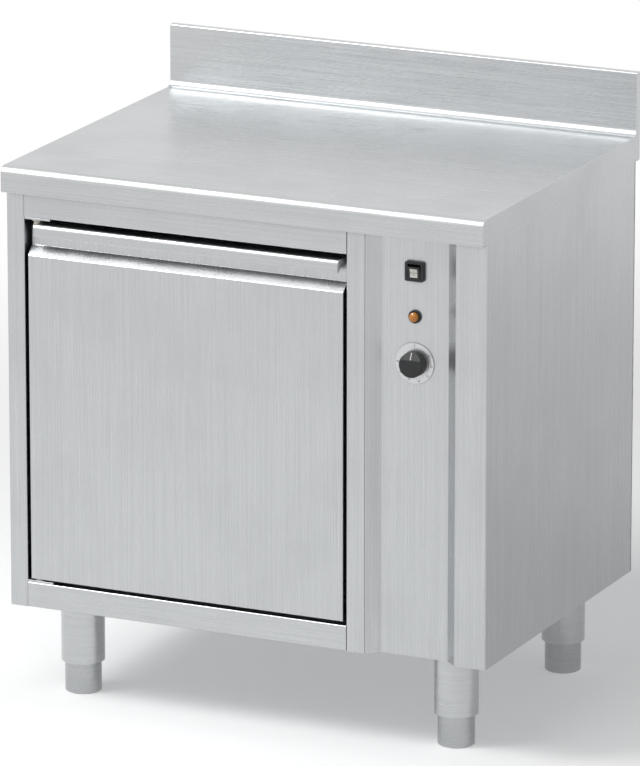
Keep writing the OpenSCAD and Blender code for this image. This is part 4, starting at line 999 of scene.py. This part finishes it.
# %% [markdown]
# ## The knob's pointer
# The knob's sloped facet carries a pale inlay line, which is how the cook reads the
# setting. It is a thin bevelled slab let into the facet, and it rides on the knob. A slab
# in its own three directions is easier to place on a slope than a turned cube.

# %% A slab let into the knob's facet
KNOB_CHORD_MM, KNOB_SLOPE_DEG = 8, 28
POINTER_SIZE_MM = (1.5, 11.2, 0.42)
POINTER_START_MM, POINTER_SUNK_MM, POINTER_EDGE_MM = 0.8, 0.3, 0.06
X, Y, Z = Vector((1, 0, 0)), Vector((0, 1, 0)), Vector((0, 0, 1))


def slab(shape, origin, axes, sizes, edge_mm):
    """Adds a bevelled slab to a shape: a corner point, three directions and three sizes in mm."""
    made = bmesh.ops.create_cube(shape, size=1.0)["verts"]
    for vert in made:
        sides = (axis * size * (c + 0.5) for axis, size, c in zip(axes, sizes, vert.co))
        vert.co = origin + sum(sides, Vector())
    edges = list({edge for vert in made for edge in vert.link_edges})
    bmesh.ops.bevel(shape, geom=edges, offset=edge_mm, segments=2, affect="EDGES")


knob_low, _ = box_mm("thermostat_knob")
slope = math.radians(KNOB_SLOPE_DEG)
along = Vector((0, math.sin(slope), math.cos(slope)))
outward = Vector((0, -math.cos(slope), math.sin(slope)))
start = Vector((dial_centre.x, knob_low.y, dial_centre.z + KNOB_CHORD_MM))
corner = start + along * POINTER_START_MM - outward * POINTER_SUNK_MM - X * POINTER_SIZE_MM[0] / 2
shape = bmesh.new()
slab(shape, corner, (X, along, outward), POINTER_SIZE_MM, POINTER_EDGE_MM)
finished_piece("knob_pointer", shape, "knob", ivory)

# %% [markdown]
# ## The rocker's insert
# A rocker's face is bent in the middle, and each half carries a pale insert with the
# usual I or O, so that off and on can be told apart from across the kitchen. The two
# halves mirror each other about the pivot, so one loop makes both. They ride on the rocker.

# %% The rocker's insert and its marks
ROCKER_TILT_DEG, ROCKER_FACE_MM, ROCKER_WAIST_MM, ROCKER_HALF_H_MM = 8, 13.5, 12, 9.8
ROCKER_INSET_MM, PANEL_BACK_OF_FRONT_MM, FRONT_Y_MM = 6, 18, -282
INSERT_SIZE_MM = (12, 6.4, 0.62)
INSERT_START_MM, INSERT_SUNK_MM, INSERT_EDGE_MM = 0.5, 0.4, 0.12
MARK_MM, MARK_FROM_WAIST_MM = 4.4, 3.7

house_low, house_high = box_mm("switch_housing")
pivot = Vector((dial_centre.x, FRONT_Y_MM + PANEL_BACK_OF_FRONT_MM + ROCKER_INSET_MM,
                (house_low.z + house_high.z) / 2))
tilt = Matrix.Rotation(math.radians(ROCKER_TILT_DEG), 3, "X")
bend = math.atan2(ROCKER_FACE_MM - ROCKER_WAIST_MM, ROCKER_HALF_H_MM)
waist = pivot + tilt @ Vector((0, -ROCKER_WAIST_MM, 0))
mark_height = INSERT_SIZE_MM[2] - INSERT_SUNK_MM + INK_MM / 4
insert, marks = bmesh.new(), bmesh.new()
for side, words in ((1, "I"), (-1, "O")):
    up = tilt @ Vector((0, -math.sin(bend), math.cos(bend) * side))
    out = tilt @ Vector((0, -math.cos(bend), -math.sin(bend) * side))
    corner = waist + up * INSERT_START_MM - out * INSERT_SUNK_MM - X * INSERT_SIZE_MM[0] / 2
    slab(insert, corner, (X, up, out), INSERT_SIZE_MM, INSERT_EDGE_MM)
    turn = Matrix.Rotation(math.radians(ROCKER_TILT_DEG) - side * bend + math.pi / 2, 4, "X")
    printed(marks, words, MARK_MM, waist + up * MARK_FROM_WAIST_MM + out * mark_height, turn)
finished_piece("rocker_insert", insert, "rocker", ivory)
finished_piece("rocker_marks", marks, "rocker", ink)

# %% [markdown]
# ## The door gasket
# The seal is a silicone section pushed round the door: a flat foot with a hollow bulb
# that the sealing flange presses. One section swept round a rounded rectangle shows the
# foot, the bulb and the soft corners, which a plain strip can't.

# %% Sweep the gasket
GASKET_W_MM, GASKET_T_MM, CORNER_STEPS, INNER_R_MM = 8, 3.7, 6, 1.0
BULB_R_MM = 1.62
BULB_ARC_DEG = range(-35, 216, 25)
FOOT_EDGE_MM, FOOT_TOP_MM, FOOT_CHAMFER_MM = 0.9, 1.2, 0.5
GASKET_SHARP_DEG = 40

seal_low, seal_high = box_mm("door_gasket")
bulb = [(GASKET_W_MM / 2 + BULB_R_MM * math.cos(math.radians(a)),
         GASKET_T_MM - BULB_R_MM + BULB_R_MM * math.sin(math.radians(a))) for a in BULB_ARC_DEG]
section = [(0, 0), (GASKET_W_MM, 0), (GASKET_W_MM, FOOT_EDGE_MM),
           (GASKET_W_MM - FOOT_CHAMFER_MM, FOOT_TOP_MM), *bulb,
           (FOOT_CHAMFER_MM, FOOT_TOP_MM), (0, FOOT_EDGE_MM)]
x0, x1 = seal_low.x + GASKET_W_MM + INNER_R_MM, seal_high.x - GASKET_W_MM - INNER_R_MM
z0, z1 = seal_low.z + GASKET_W_MM + INNER_R_MM, seal_high.z - GASKET_W_MM - INNER_R_MM
turns = [(x, z, math.radians(quarter * 90 + 90 * k / CORNER_STEPS))
         for quarter, (x, z) in enumerate(((x1, z1), (x0, z1), (x0, z0), (x1, z0)))
         for k in range(CORNER_STEPS + 1)]
shape = bmesh.new()
rings = [[shape.verts.new((x + (u + INNER_R_MM) * math.cos(a), seal_low.y + v,
                           z + (u + INNER_R_MM) * math.sin(a)))
          for u, v in section] for x, z, a in turns]
for ring_a, ring_b in zip(rings, rings[1:] + rings[:1]):
    for j in range(len(section)):
        shape.faces.new((ring_a[j - 1], ring_a[j], ring_b[j], ring_b[j - 1]))
seal = finished_piece("door_seal", shape, "door", silicone, GASKET_SHARP_DEG)
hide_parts("door_gasket")

# %% [markdown]
# ## The magnet's pole plates
# Two thin steel plates stand beside the magnet in its plastic case, and carry its pull
# to the door's strike. They show as two bright lines, so each is one upright slab.

# %% Pole plates of the magnet catch
POLE_W_MM, POLE_DEPTH_MM, POLE_EDGE_MM = 1.6, 0.8, 0.03
POLE_INSET_MM, POLE_END_MM, POLE_PROUD_MM = 1.4, 2, 0.05

magnet_low, magnet_high = box_mm("magnet_catch")
pole_size = (POLE_W_MM, POLE_DEPTH_MM, magnet_high.z - magnet_low.z - 2 * POLE_END_MM)
shape = bmesh.new()
for x in (magnet_low.x + POLE_INSET_MM, magnet_high.x - POLE_INSET_MM - POLE_W_MM):
    corner = Vector((x, magnet_low.y - POLE_PROUD_MM, magnet_low.z + POLE_END_MM))
    slab(shape, corner, (X, Y, Z), pole_size, POLE_EDGE_MM)
finished_piece("magnet_poles", shape, "cabinet", wire_metal)
